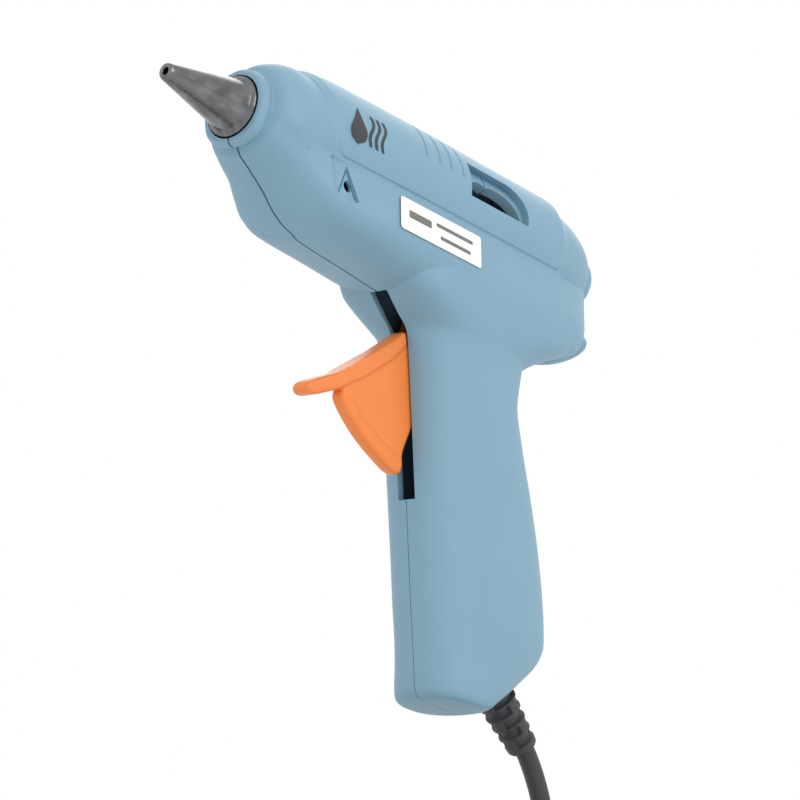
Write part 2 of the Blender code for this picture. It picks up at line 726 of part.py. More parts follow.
def make_trigger():
    """The finger blade, its hub on the pin, a rear arm for the spring and a fork up to the carriage."""
    px = PIVOT[0] / MM
    pz = PIVOT[1] / MM
    blade = plate("trigger", blade_outline(), WEB_HALF, trigger_orange())
    rim = plate("trigger_rim", rim_outline(), WEB_HALF + 0.25, None, cutter=True)
    join(blade, rim)
    hub = rod("trigger_hub", (PIVOT[0], -11.4 * MM, PIVOT[1]), (PIVOT[0], 11.4 * MM, PIVOT[1]), 3.8 * MM, None, 24,
              cutter=True)
    join(blade, hub)
    lean = -TRIGGER_SWING / 2
    for side in (1, -1):
        arm = plate("fork_arm_%s" % ("left" if side > 0 else "right"),
                    [turn_point(p, lean, px, pz) for p in fork_arm_outline()],
                    (ARM_OUTER_Y - ARM_INNER_Y) / 2, None, cutter=True)
        arm.location.y = side * (ARM_OUTER_Y + ARM_INNER_Y) / 2 * MM
        join(blade, arm)
    rear = box("spring_arm", ((px - 22.0) * MM, -3.4 * MM, (pz - 3.4) * MM), (px * MM, 3.4 * MM, (pz - 0.4) * MM), None,
               cutter=True)
    join(blade, rear)
    cut(blade, rod("trigger_pin_bore", (PIVOT[0], -20 * MM, PIVOT[1]), (PIVOT[0], 20 * MM, PIVOT[1]), 1.95 * MM, None,
                   24, cutter=True))
    set_origin(blade, (PIVOT[0], 0, PIVOT[1]))
    return blade


def turn_point(point, angle, px, pz):
    """Turn an outline point about the trigger pin, then place it; angle leans it back when negative."""
    x, z = point
    return (px + x * cos(angle) + z * sin(angle), pz - x * sin(angle) + z * cos(angle))


def blade_outline():
    """The fin that the fingers pull, with its guard lip reaching forward."""
    return [
        (-11.0, -34.0), (-2.0, -34.6), (8.6, -42.6), (19.3, -51.0), (27.5, -56.0), (35.6, -60.2), (38.6, -62.0),
        (39.0, -63.8), (37.5, -64.9), (35.0, -64.4), (26.6, -60.6), (22.6, -65.0), (16.2, -69.6), (10.8, -72.4),
        (2.4, -75.4), (-0.8, -75.8), (-2.4, -74.6), (-2.6, -71.8), (-1.8, -69.6), (-5.0, -60.0), (-11.0, -48.0),
        (-15.0, -40.0),
    ]


def rim_outline():
    """The thicker lip along the top of the fin."""
    return [
        (3.2, -38.1), (8.8, -42.3), (19.5, -50.7), (27.7, -55.7), (35.8, -59.9), (38.9, -61.8), (39.3, -63.9),
        (37.6, -65.2), (34.8, -64.7), (26.0, -60.0), (17.4, -54.2), (7.0, -45.6), (1.4, -41.2),
    ]


def make_trigger_pin():
    return rod("trigger_pivot_pin", (PIVOT[0], -13.8 * MM, PIVOT[1]), (PIVOT[0], 13.8 * MM, PIVOT[1]), 1.6 * MM, steel(),
               20)


def coil_spring(name, start, end, coil_r, wire_r, turns, parent=None):
    """A helix of round wire between two points, in millimetres."""
    start = Vector(start)
    axis = Vector(end) - start
    turn = axis.to_track_quat("Z", "Y")
    steps = 9
    points = []
    for i in range(turns * steps + 1):
        angle = 2 * pi * i / steps
        level = wire_r + (axis.length - 2 * wire_r) * i / (turns * steps)
        points.append((start + turn @ Vector((coil_r * cos(angle), coil_r * sin(angle), level))) * MM)
    return tube(name, points, wire_r * MM, steel(), parent or AXES, resolution=0)


def make_return_spring():
    """The compression spring between the trigger's rear arm and the casing's shelf, upright in the world."""
    foot = world_point(Vector(SPRING_FOOT) * MM) / MM
    spring = coil_spring("return_spring", foot, foot + Vector((0, 0, SPRING_LENGTH)), 2.4, 0.35, 7)
    spring.parent = None


# ---------------------------------------------------------------- lead and wiring

def make_strain_relief():
    """A tapered rubber sleeve with rings, held in the casing's lower rear corner."""
    inner = CORD_R / MM + 0.35
    length = RELIEF_LENGTH / MM
    profile = [(0.0, inner), (0.0, 7.6), (1.8, 7.6), (1.8, 5.4), (4.6, 5.4), (4.6, 5.7)]
    rings = 5
    first = 7.4
    pitch = (length - first - 2.0) / rings
    for i in range(rings):
        radius = 5.7 - 1.3 * (i + 0.5) / rings
        start = first + pitch * i
        profile += [(start, radius - 0.35), (start + 0.3 * pitch, radius + 0.1), (start + 0.7 * pitch, radius - 0.05)]
    profile += [(length - 1.0, 4.2), (length, 3.9), (length, inner)]
    return turned("strain_relief", list(reversed(profile)), black_rubber(), RELIEF_START, axis=RELIEF_AXIS, sides=16,
                  ring=True)


def clamp_spots():
    """The clamp's two screws stand either side of the cord."""
    across = Vector((RELIEF_AXIS.z, 0.0, -RELIEF_AXIS.x))
    return [CLAMP_CENTRE + across * 6.0 * MM, CLAMP_CENTRE - across * 6.0 * MM]


def clamp_posts():
    bm = bmesh.new()
    for spot in clamp_spots():
        add_rod(bm, (spot.x, -2.9 * MM, spot.z), (spot.x, 13.6 * MM, spot.z), 2.5 * MM, 16)
    return from_bmesh("clamp_posts", bm, None, cutter=True)


def clamp_pilots():
    bm = bmesh.new()
    for spot in clamp_spots():
        add_rod(bm, (spot.x, -4.0 * MM, spot.z), (spot.x, 8.0 * MM, spot.z), 1.4 * MM, 12)
    return from_bmesh("clamp_pilots", bm, None, cutter=True)


def make_cord_clamp():
    """A plastic saddle that grips the lead's sheath, with its two screws."""
    turn = Vector((1, 0, 0)).rotation_difference(Vector((RELIEF_AXIS.z, 0.0, -RELIEF_AXIS.x)))
    bm = bmesh.new()
    add_box(bm, (-8.6 * MM, -5.4 * MM, -3.0 * MM), (8.6 * MM, -3.2 * MM, 3.0 * MM))
    clamp = from_bmesh("cord_clamp", bm, material("nylon_black", (0.05, 0.05, 0.05), 0.5))
    clamp.rotation_mode = "QUATERNION"
    clamp.rotation_quaternion = turn
    clamp.location = CLAMP_CENTRE
    bm = bmesh.new()
    for spot in clamp_spots():
        add_rod(bm, (spot.x, -7 * MM, spot.z), (spot.x, 0, spot.z), 1.6 * MM, 12)
    cut(clamp, from_bmesh("clamp_holes", bm, None, cutter=True))
    for number, spot in enumerate(clamp_spots(), 1):
        turned("clamp_screw_%d" % number,
               [(0.0, 0.0), (0.0, 1.4), (-1.2, 2.2), (-1.3, 1.1), (-8.6, 1.1), (-9.6, 0.0)],
               steel(), (spot.x, -7.0 * MM, spot.z), axis=(0.0, -1.0, 0.0), sides=12)


def make_wires():
    """The lead's two cores run up the handle and forward past the fork to the heater."""
    routes = {
        "live_wire": (1, (-32.6, 1.6, -106.9), (27.9, 3.2, -10.4), material("wire_brown", (0.25, 0.1, 0.04), 0.5)),
        "neutral_wire": (-1, (-31.4, -1.6, -106.9), (27.9, -3.2, -12.8), material("wire_blue", (0.05, 0.15, 0.45), 0.5)),
    }
    for name, (side, start, end, finish) in routes.items():
        mid = [
            (-33.0, side * 3.0, -101.0), (-34.0, side * 5.0, -90.0), (-33.0, side * 6.8, -68.0),
            (-31.0, side * 8.4, -48.0), (-30.6, side * 9.6, -35.0), (-33.4, side * 11.8, -25.4),
            (-35.6, side * 12.8, -20.0), (-32.0, side * 13.6, -15.4), (-22.0, side * 13.6, -13.6), (0.0, side * 13.6, -13.4),
            (12.0, side * 11.6, -13.2), (19.0, side * 6.0, end[2] - 0.6), (23.5, side * 3.4, end[2]),
        ]
        points = [[v * MM for v in p] for p in [start] + mid + [end]]
        tube(name, smooth_route(points, 4.5 * MM), 0.9 * MM, finish, AXES, resolution=1)


def cord_points():
    """The lead from inside the clamp, out of the relief, down, and along the surface to the coil."""
    inside = world_point(CLAMP_CENTRE - RELIEF_AXIS * 4.0 * MM)
    mouth = world_point(RELIEF_START + RELIEF_AXIS * (RELIEF_LENGTH + 2 * MM))
    hanging = [
        (-28.3, -0.1, -74.0), (-30.2, -1.2, -83.0), (-31.0, -4.4, -92.0), (-29.8, -10.4, -100.5),
        (-26.0, -18.2, -107.6), (-19.6, -26.0, -112.8), (-11.4, -32.0, -116.2), (-5.0, -34.6, -117.3),
        (1.5, PLUG_Y, -117.3),
    ]
    route = [inside, inside.lerp(mouth, 0.33), inside.lerp(mouth, 0.66), mouth]
    return route + [Vector(p) * MM for p in hanging]


def make_cord():
    """The lead's free stretch, and its stored length wound into a round coil under the grip."""
    tube("mains_cord", smooth_route(cord_points(), 2.4 * 2 * CORD_R), CORD_R, black_rubber(), None, resolution=2)
    low = 0.2
    inner = COIL_MEAN_R - COIL_HALF_WIDTH
    outer = COIL_MEAN_R + COIL_HALF_WIDTH
    corner = CORD_R / MM
    profile = [
        (COIL_HEIGHT, inner + corner), (COIL_HEIGHT, outer - corner), (COIL_HEIGHT - corner, outer),
        (low + corner, outer), (low, outer - corner), (low, inner + corner), (low + corner, inner),
        (COIL_HEIGHT - corner, inner),
    ]
    turned("cord_coil", profile, black_rubber(), COIL_CENTRE, axis=(0, 0, 1), sides=36, ring=True,
           parent=WORLD_AXES)


def make_coil_tie():
    """A paper covered wire tie round the bundle, on the far side from where the lead joins."""
    half = COIL_HALF_WIDTH + 0.3
    low = -0.1
    high = COIL_HEIGHT + 0.3
    thick = 0.7
    tie = box("coil_tie", (-2.0 * MM, (-half - thick) * MM, (low - thick) * MM),
              (2.0 * MM, (half + thick) * MM, (high + thick) * MM),
              material("tie_black", (0.04, 0.04, 0.04), 0.4), parent=WORLD_AXES)
    bundle = box("tie_bore", (-5.0 * MM, -half * MM, low * MM), (5.0 * MM, half * MM, high * MM), None,
                 parent=WORLD_AXES, cutter=True)
    for obj in (tie, bundle):
        obj.location = COIL_CENTRE + Vector((0, COIL_MEAN_R * MM, 0))
    cut(tie, bundle)


def make_plug():
    """A flat two pin plug with its moulded tail, lying beside the coil."""
    x0, x1 = PLUG_BODY_X
    bm = bmesh.new()
    rings = []
    for share, half_y, half_z in ((0.0, 8.0, 5.4), (0.12, 13.0, 6.4), (0.4, 16.4, 6.8), (0.9, 17.4, 6.8), (1.0, 16.8, 6.2)):
        x = x0 + (x1 - x0) * share
        rings.append(rounded_ring(x, half_y, half_z))
    loft(bm, rings)
    body = from_bmesh("plug_body", bm, black_rubber(), WORLD_AXES)
    bm = bmesh.new()
    add_rod(bm, (PLUG_TAIL_X * MM, PLUG_Y * MM, PLUG_Z * MM), ((x0 + 2) * MM, PLUG_Y * MM, PLUG_Z * MM), 3.3 * MM, 16,
            5.0 * MM)
    join(body, from_bmesh("plug_tail", bm, None, WORLD_AXES, cutter=True))
    for name, across in (("plug_pin_left", 9.3), ("plug_pin_right", -9.3)):
        start = ((x1 + GAP / MM) * MM, (PLUG_Y + across) * MM, PLUG_Z * MM)
        end = ((x1 + 19.0) * MM, (PLUG_Y + across) * MM, PLUG_Z * MM)
        pin = rod(name, start, end, 2.0 * MM, zinc(), 16, parent=WORLD_AXES)
        edge = pin.modifiers.new("rounded_tip", "BEVEL")
        edge.width = 0.6 * MM
        edge.segments = 2
        edge.limit_method = "ANGLE"


def rounded_ring(x, half_y, half_z):
    """A section of the plug: flat top and bottom with half round sides."""
    ring = []
    straight = half_y - half_z
    for i in range(20):
        angle = 2 * pi * i / 20
        y = half_z * cos(angle) + (straight if cos(angle) > 0 else -straight)
        ring.append((x * MM, (PLUG_Y + y) * MM, (PLUG_Z + half_z * sin(angle)) * MM))
    return ring


# ---------------------------------------------------------------- assembly

def build():
    global PARTS, CUTTERS, AXES, WORLD_AXES
    clear_scene()
    PARTS = new_collection("glue_gun")
    CUTTERS = new_collection("cutters")
    AXES = bpy.data.objects.new("barrel_axes", None)
    PARTS.objects.link(AXES)
    AXES.rotation_euler = (0.0, -BARREL_PITCH, 0.0)
    gx, gz = GRIP_CENTRE
    AXES.location = (-(gx * cos(BARREL_PITCH) - gz * sin(BARREL_PITCH)), 0.0,
                     -(gx * sin(BARREL_PITCH) + gz * cos(BARREL_PITCH)))
    WORLD_AXES = bpy.data.objects.new("world_axes", None)
    PARTS.objects.link(WORLD_AXES)
    bpy.context.view_layer.update()
    tools = casing_tools()
    make_left_shell(tools)
    make_right_shell(tools)
    make_housing_screws()
    make_label()
    make_nozzle()
    make_melt_chamber()
    make_heater()
    make_chamber_rings()
    make_inlet_sleeve()
    make_drip_valve()
    make_feed_carriage()
    make_grip_jaw()
    make_trigger()
    make_trigger_pin()
    make_return_spring()
    make_strain_relief()
    make_cord_clamp()
    make_wires()
    make_cord()
    make_coil_tie()
    make_plug()


build()
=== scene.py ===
from math import cos, exp, log, pi, radians, sin

import bmesh
import bpy
from mathutils import Matrix, Vector


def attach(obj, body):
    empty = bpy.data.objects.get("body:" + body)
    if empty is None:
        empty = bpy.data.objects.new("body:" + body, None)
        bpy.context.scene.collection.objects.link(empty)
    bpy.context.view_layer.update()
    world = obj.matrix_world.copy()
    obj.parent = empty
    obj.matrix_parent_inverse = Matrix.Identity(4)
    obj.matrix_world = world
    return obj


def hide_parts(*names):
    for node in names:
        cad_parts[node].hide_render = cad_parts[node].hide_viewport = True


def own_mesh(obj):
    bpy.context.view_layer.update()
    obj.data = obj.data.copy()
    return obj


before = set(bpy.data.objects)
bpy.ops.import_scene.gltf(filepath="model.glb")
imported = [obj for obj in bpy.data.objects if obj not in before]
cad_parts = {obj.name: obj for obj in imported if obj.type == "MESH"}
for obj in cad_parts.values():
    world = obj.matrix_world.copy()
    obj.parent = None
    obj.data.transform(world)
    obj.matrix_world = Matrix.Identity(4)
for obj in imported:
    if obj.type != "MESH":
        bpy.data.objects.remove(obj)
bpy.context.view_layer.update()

# ---- Studio
# A pale floor, a white surround and soft lamps. The camera stands low at the gun's front left and
# is turned a little about its own line of sight. The view is kept plain, so paints look as mixed.
WATCHED = Vector((0.02391, 0.0, 0.03224))
CAMERA_REACH = 0.9805
GROUND, GROUND_SPAN = -0.1212, 4.0
bearing, rise, roll = radians(130.2), radians(-6.8), radians(-2.4)
away = Vector((sin(bearing) * cos(rise), -cos(bearing) * cos(rise), sin(rise)))
level = Vector((cos(bearing), sin(bearing), 0.0))
upright = away.cross(level)
rightward = cos(roll) * level + sin(roll) * upright
upward = -sin(roll) * level + cos(roll) * upright
lens = bpy.data.cameras.new("studio_camera")
lens.lens = 166.5
lens.sensor_width = 36.0
lens.clip_start = 0.01
camera = bpy.data.objects.new("studio_camera", lens)
stand = Matrix((rightward, upward, away)).transposed().to_4x4()
stand.translation = WATCHED + away * CAMERA_REACH
camera.matrix_world = stand
bpy.context.scene.collection.objects.link(camera)
bpy.context.scene.camera = camera
bpy.context.scene.view_settings.view_transform = "Standard"


def paint(red, green, blue):
    """A colour given as it looks, 0 to 255, as the light values that a shader takes."""
    return [((v / 255 + 0.055) / 1.055) ** 2.4 if v > 10 else v / 3294.6 for v in (red, green, blue)]


surround = bpy.data.worlds.new("white_surround")
surround.use_nodes = True
surround.node_tree.nodes["Background"].inputs["Color"].default_value = (1.0, 1.0, 1.0, 1.0)
surround.node_tree.nodes["Background"].inputs["Strength"].default_value = 1.0
bpy.context.scene.world = surround


def hang_lamp(name, place, size, power):
    """A square soft lamp turned towards the middle of the gun."""
    light = bpy.data.lights.new(name, "AREA")
    light.size = size
    light.energy = power
    lamp = bpy.data.objects.new(name, light)
    lamp.location = place
    lamp.rotation_euler = (Vector(place) - WATCHED).to_track_quat("Z", "Y").to_euler()
    bpy.context.scene.collection.objects.link(lamp)


hang_lamp("side_lamp", (0.15, 1.0, 0.55), 0.7, 3.2)
hang_lamp("rear_lamp", (-0.9, -0.5, 0.7), 0.8, 3.0)

floor_mesh = bpy.data.meshes.new("pale_floor")
corners = [(x * GROUND_SPAN, y * GROUND_SPAN, GROUND) for x, y in ((-1, -1), (1, -1), (1, 1), (-1, 1))]
floor_mesh.from_pydata(corners, [], [(0, 1, 2, 3)])
pale = bpy.data.materials.new("pale_floor")
pale.use_nodes = True
pale.node_tree.nodes["Principled BSDF"].inputs["Base Color"].default_value = (0.8, 0.8, 0.8, 1.0)
pale.node_tree.nodes["Principled BSDF"].inputs["Roughness"].default_value = 0.8
floor_mesh.materials.append(pale)
pale_floor = bpy.data.objects.new("pale_floor", floor_mesh)
bpy.context.scene.collection.objects.link(pale_floor)

# ---- Plug
# The flat two pin plug, moulded in one with its bend guard on the end of the lead, in black rubber
# like vinyl. Round nickel plated pins stand out of its face, sleeved for the half next to the body.
MM = Matrix.Scale(0.001, 4)
LEAD_R = 2.7
FLOOR_Z = -120.0
PLUG_Y = -35.4
PLUG_Z = FLOOR_Z + 7.0
PLUG_TAIL_X = 44.0
PLUG_X = (60.0, 90.0)


def mixed_finish(name, colour, second, patch, grain, relief, rough, spread, metallic=0.0, stretch=(1, 1, 1)):
    """A finish that drifts between two colours over patches and has a fine relief; sizes in millimetres."""
    made = bpy.data.materials.new(name)
    made.use_nodes = True
    nodes, wire = made.node_tree.nodes, made.node_tree.links.new
    shader = nodes["Principled BSDF"]
    shader.inputs["Metallic"].default_value = metallic
    spot = nodes.new("ShaderNodeTexCoord")
    turn = nodes.new("ShaderNodeMapping")
    turn.inputs["Scale"].default_value = stretch
    wire(spot.outputs["Object"], turn.inputs["Vector"])
    clouds = nodes.new("ShaderNodeTexNoise")
    clouds.inputs["Scale"].default_value = 1000.0 / patch
    clouds.inputs["Detail"].default_value = 4.0
    blend = nodes.new("ShaderNodeMix")
    blend.data_type = "RGBA"
    blend.inputs["A"].default_value = (*colour, 1.0)
    blend.inputs["B"].default_value = (*second, 1.0)
    pores = nodes.new("ShaderNodeTexNoise")
    pores.inputs["Scale"].default_value = 1000.0 / grain
    pores.inputs["Detail"].default_value = 3.0
    gloss = nodes.new("ShaderNodeMapRange")
    gloss.inputs["To Min"].default_value = rough - spread
    gloss.inputs["To Max"].default_value = rough + spread
    bump = nodes.new("ShaderNodeBump")
    bump.inputs["Strength"].default_value = 1.0
    bump.inputs["Distance"].default_value = relief * 0.001
    for noise in (clouds, pores):
        wire(turn.outputs["Vector"], noise.inputs["Vector"])
    wire(clouds.outputs["Fac"], blend.inputs["Factor"])
    wire(blend.outputs["Result"], shader.inputs["Base Color"])
    wire(pores.outputs["Fac"], gloss.inputs["Value"])
    wire(gloss.outputs["Result"], shader.inputs["Roughness"])
    wire(pores.outputs["Fac"], bump.inputs["Height"])
    wire(bump.outputs["Normal"], shader.inputs["Normal"])
    return made


def make_piece(name, bm, place, finish, body, slot, *stands_for):
    """Turn millimetre shapes into a piece that rides on a body and stands for its CAD nodes."""
    bmesh.ops.recalc_face_normals(bm, faces=bm.faces)
    mesh = bpy.data.meshes.new(name)
    bm.to_mesh(mesh)
    bm.free()
    mesh.transform(place)
    mesh.materials.append(finish)
    mesh.shade_smooth()
    mesh.set_sharp_from_angle(angle=radians(40))
    piece = bpy.data.objects.new(name, mesh)
    bpy.context.scene.collection.objects.link(piece)
    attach(piece, body)
    if stands_for:
        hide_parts(*stands_for)
    return piece


def skin(bm, rings, closed=False, caps=True):
    """Skin rings of equal length into a tube, closed on itself or with flat ends."""
    loops = [[bm.verts.new(co) for co in ring] for ring in rings]
    count = len(loops[0])
    for near, far in zip(loops, loops[1:] + (loops[:1] if closed else [])):
        for i in range(count):
            j = (i + 1) % count
            bm.faces.new((near[i], near[j], far[j], far[i]))
    if caps and not closed:
        bm.faces.new(loops[0])
        bm.faces.new(loops[-1][::-1])


def round_corners(outline, radius, steps=4, closed=True):
    """An outline with each corner replaced by a short curve."""
    points = [Vector(p) for p in outline]
    eased = []
    for i, corner in enumerate(points):
        if not closed and i in (0, len(points) - 1):
            eased.append(tuple(corner))
            continue
        before, after = points[i - 1] - corner, points[(i + 1) % len(points)] - corner
        start = corner + before.normalized() * min(radius, before.length * 0.45)
        end = corner + after.normalized() * min(radius, after.length * 0.45)
        for step in range(steps + 1):
            t = step / steps
            eased.append(tuple(start * (1 - t) ** 2 + corner * 2 * t * (1 - t) + end * t * t))
    return eased


def lathe(bm, profile, place, axis, sides=64, bored=True):
    """Turn (along, radius) about an axis through a place; a bored profile closes on itself."""
    turn = Vector(axis).to_track_quat("Z", "Y")
    angles = [2 * pi * i / sides for i in range(sides)]
    rings = [[Vector(place) + turn @ Vector((radius * cos(a), radius * sin(a), along)) for a in angles]
             for along, radius in profile]
    skin(bm, rings, closed=bored)


black_vinyl = mixed_finish("black_vinyl", paint(62, 62, 65), paint(48, 48, 51), 6.0, 0.35, 0.02, 0.5, 0.08)
nickel = mixed_finish("nickel_plate", (0.62, 0.60, 0.56), (0.52, 0.50, 0.47), 4.0, 0.5, 0.006, 0.24, 0.08,
                      1.0)

bm = bmesh.new()
sections = [(0.0, 6.6, 5.0), (0.5, 8.4, 5.6), (2.5, 11.4, 6.1), (5.5, 13.9, 6.5), (10.0, 15.9, 6.8),
            (16.0, 17.0, 6.9), (22.0, 17.4, 6.9), (27.0, 17.4, 6.8), (28.6, 17.2, 6.6),
            (29.6, 16.7, 6.1), (30.0, 15.9, 5.4)]
rings = []
for along, half_width, half_height in sections:
    ring = []
    for i in range(64):
        angle = 2 * pi * i / 64
        bulge = 2 / 2.7
        across = half_width * abs(cos(angle)) ** bulge * (1 if cos(angle) > 0 else -1)
        over = half_height * abs(sin(angle)) ** bulge * (1 if sin(angle) > 0 else -1)
        pinch = 0.10 * (1 - abs(2 * min(max((along - 9) / 12, 0), 1) - 1))
        waist = 1.0 - pinch if abs(cos(angle)) < 0.75 else 1.0
        ring.append((PLUG_X[0] + along, PLUG_Y + across, PLUG_Z + over * waist))
    rings.append(ring)
skin(bm, rings)
guard = [(PLUG_TAIL_X, LEAD_R + 0.15), (PLUG_TAIL_X, 3.3)]
for k in range(5):
    start = PLUG_TAIL_X + 1.4 + 2.9 * k
    radius = 3.4 + 0.32 * k
    guard += [(start, radius), (start + 0.25, radius - 0.75), (start + 0.95, radius - 0.75),
              (start + 1.2, radius + 0.1)]
guard += [(PLUG_X[0] + 0.5, 5.1), (PLUG_X[0] + 1.5, 5.1), (PLUG_X[0] + 1.5, LEAD_R + 0.15)]
lathe(bm, guard, (0, PLUG_Y, PLUG_Z), (1, 0, 0), 40)
for side in (1, -1):
    for k in range(5):
        grip = round_corners([(-0.45, -3.6), (0.45, -3.6), (0.45, 3.6), (-0.45, 3.6)], 0.4, 3)
        rib_x = PLUG_X[0] + 9.0 + 2.4 * k
        skin(bm, [[(rib_x + u * tip, PLUG_Y + v * tip, PLUG_Z + side * height) for u, v in grip]
                  for height, tip in ((5.6, 1.0), (6.75, 1.0), (6.95, 0.8))])
plug = make_piece("plug_body_moulded", bm, MM, black_vinyl, "casing", "black_rubber", "plug_body")

for name, across in (("plug_pin_left", 9.3), ("plug_pin_right", -9.3)):
    bm = bmesh.new()
    pin_profile = [(PLUG_X[1] + 0.3, 0.01), (PLUG_X[1] + 0.3, 1.9), (PLUG_X[1] + 9.4, 1.9),
                   (PLUG_X[1] + 9.6, 2.0),
                   (107.6, 2.0), (108.5, 1.7), (108.9, 1.1), (109.0, 0.01)]
    lathe(bm, pin_profile, (0, PLUG_Y + across, PLUG_Z), (1, 0, 0), 32, bored=False)
    make_piece(name + "_plated", bm, MM, nickel, "casing", "pin_metal", name)
    bm = bmesh.new()
    lathe(bm, [(PLUG_X[1] + 0.2, 1.92), (PLUG_X[1] + 0.2, 2.04), (PLUG_X[1] + 9.0, 2.04),
               (PLUG_X[1] + 9.2, 1.92)],
          (0, PLUG_Y + across, PLUG_Z), (1, 0, 0), 32)
    make_piece(name + "_sleeve", bm, MM, black_vinyl, "casing", "black_rubber")

# ---- Mains lead
# Two cores in a round black vinyl sheath, 5.4 mm thick. It hangs out of the grip, lies on the bench
# and is wound, as packed, in three turns side by side and two layers high, then ends in the plug.
PITCH = radians(14.0)
GRIP = (-31.0, -80.0)
BARREL = (MM @ Matrix.Translation((-(GRIP[0] * cos(PITCH) - GRIP[1] * sin(PITCH)), 0.0,
                                   -(GRIP[0] * sin(PITCH) + GRIP[1] * cos(PITCH))))
          @ Matrix.Rotation(-PITCH, 4, "Y"))
RELIEF_START = Vector((-45.6, 0.0, -117.3))
RELIEF_AXIS = Vector((-0.8, 0.0, -0.6))
RELIEF_LENGTH = 26.0
CLAMP = Vector((-37.6, 0.0, -111.3))
COIL = Vector((22.0, 0.0, 0.0))
TURN_RADII = (35.4, 30.0, 24.6)
LOW_LAYER, HIGH_LAYER = FLOOR_Z + LEAD_R, FLOOR_Z + LEAD_R + 5.4


def eased_route(points, spacing):
    """Evenly spaced points on one smooth curve through a route's own points."""
    ends = [2 * points[0] - points[1]] + points + [2 * points[-1] - points[-2]]
    dense = []
    for a, b, c, d in zip(ends, ends[1:], ends[2:], ends[3:]):
        for i in range(24):
            t = i / 24
            dense.append(0.5 * (2 * b + (c - a) * t + (2 * a - 5 * b + 4 * c - d) * t * t
                                + (3 * b - a - 3 * c + d) * t ** 3))
    dense.append(points[-1])
    even, walked = [dense[0]], 0.0
    for a, b in zip(dense, dense[1:]):
        walked += (b - a).length
        if walked >= spacing:
            even.append(b)
            walked = 0.0
    if (even[-1] - dense[-1]).length > spacing * 0.4:
        even.append(dense[-1])
    return even


def soft_step(t):
    """Ease from 0 to 1 as t runs from 0 to 1, with level ends."""
    t = min(max(t, 0.0), 1.0)
    return t * t * (3 - 2 * t)


def coiled_turns():
    """Three turns inward on the bench, then three outward on top of them, from the same side."""
    points = []
    per_turn = 48
    for i in range(1, 6 * per_turn + 1):
        turn, share = divmod(i / per_turn, 1.0)
        turn = int(turn)
        ahead = soft_step((share - 0.86) / 0.14)
        behind = soft_step(share / 0.14)
        if turn < 2:
            radius = TURN_RADII[turn] + (TURN_RADII[turn + 1] - TURN_RADII[turn]) * ahead
            height = LOW_LAYER
        elif turn == 2:
            radius = TURN_RADII[2]
            height = LOW_LAYER + (HIGH_LAYER - LOW_LAYER) * soft_step((share - 0.80) / 0.16)
        elif turn == 3:
            radius, height = TURN_RADII[2], HIGH_LAYER
        elif turn < 6:
            radius = TURN_RADII[6 - turn] + (TURN_RADII[5 - turn] - TURN_RADII[6 - turn]) * behind
            height = HIGH_LAYER
        else:
            radius, height = TURN_RADII[0], HIGH_LAYER
        angle = -pi / 2 + 2 * pi * i / per_turn
        points.append(COIL + Vector((radius * cos(angle), radius * sin(angle), height)))
    return points


def in_world(barrel_point):
    """A place given along the tilted barrel, in the gun's own millimetres."""
    return (BARREL @ Vector(barrel_point)) * 1000


inside = in_world(CLAMP - RELIEF_AXIS * 4.0)
mouth = in_world(RELIEF_START + RELIEF_AXIS * (RELIEF_LENGTH + 2.0))
route = [inside, inside.lerp(mouth, 0.33), inside.lerp(mouth, 0.66), mouth]
route += [Vector(p) for p in (
    (-28.3, -0.1, -74.0), (-30.2, -1.2, -83.0), (-31.0, -4.4, -92.0), (-29.8, -10.4, -100.5),
    (-26.0, -18.2, -107.6),
    (-19.6, -26.0, -112.8), (-11.4, -32.0, -116.2), (-5.0, -34.6, -117.3), (1.5, PLUG_Y, -117.3),
    (9.0, PLUG_Y, -117.3),
    (16.0, PLUG_Y, -117.3), (22.0, PLUG_Y, -117.3))]
route += coiled_turns()
route += [Vector((28.0, PLUG_Y, HIGH_LAYER)), Vector((36.0, PLUG_Y, HIGH_LAYER - 0.3)),
          Vector((PLUG_TAIL_X, PLUG_Y, PLUG_Z)), Vector((PLUG_X[0] + 2.0, PLUG_Y, PLUG_Z))]
centreline = eased_route(route, 1.8)
sheath = bpy.data.curves.new("mains_lead", "CURVE")
sheath.dimensions = "3D"
sheath.bevel_depth = LEAD_R * 0.001
sheath.bevel_resolution = 6
sheath.use_fill_caps = True
spline = sheath.splines.new("POLY")
spline.points.add(len(centreline) - 1)
for point, co in zip(spline.points, centreline):
    point.co = (*(co * 0.001), 1.0)
sheath.materials.append(black_vinyl)
mains_lead = bpy.data.objects.new("mains_lead", sheath)
bpy.context.scene.collection.objects.link(mains_lead)
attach(mains_lead, "casing")
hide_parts("mains_cord", "cord_coil")

# A black paper covered wire tie holds the turns together on the side away from the grip. It is
# wrapped round the bundle once, and its two ends are twisted together on the outside.
bm = bmesh.new()
bundle = round_corners([(-8.75, -0.35), (8.75, -0.35), (8.75, 11.45), (-8.75, 11.45)], 3.2, 6)
strip, wire = 1.9, 0.5
across_strip = ((-strip, -1), (-strip, 0.2), (-wire, 0.6), (wire, 0.6), (strip, 0.2), (strip, -1))
rings = []
for y, z in bundle:
    grow = Vector((y, z - 5.5)).normalized() * 0.35
    rings.append([(COIL.x + dx, TURN_RADII[1] + y + grow.x * s, FLOOR_Z + z + grow.y * s)
                  for dx, s in across_strip])
skin(bm, rings, closed=True)
for turn in range(2):
    rings = []
    for i in range(25):
        angle = turn * pi + 2 * pi * i / 10
        centre = Vector((COIL.x + 0.55 * cos(angle), 38.9, FLOOR_Z + 5.0 + 0.24 * i))
        centre.y += 0.45 * sin(angle)
        rings.append([centre + Vector((0.42 * cos(2 * pi * k / 8), 0.42 * sin(2 * pi * k / 8), 0))
                      for k in range(8)])
    skin(bm, rings)
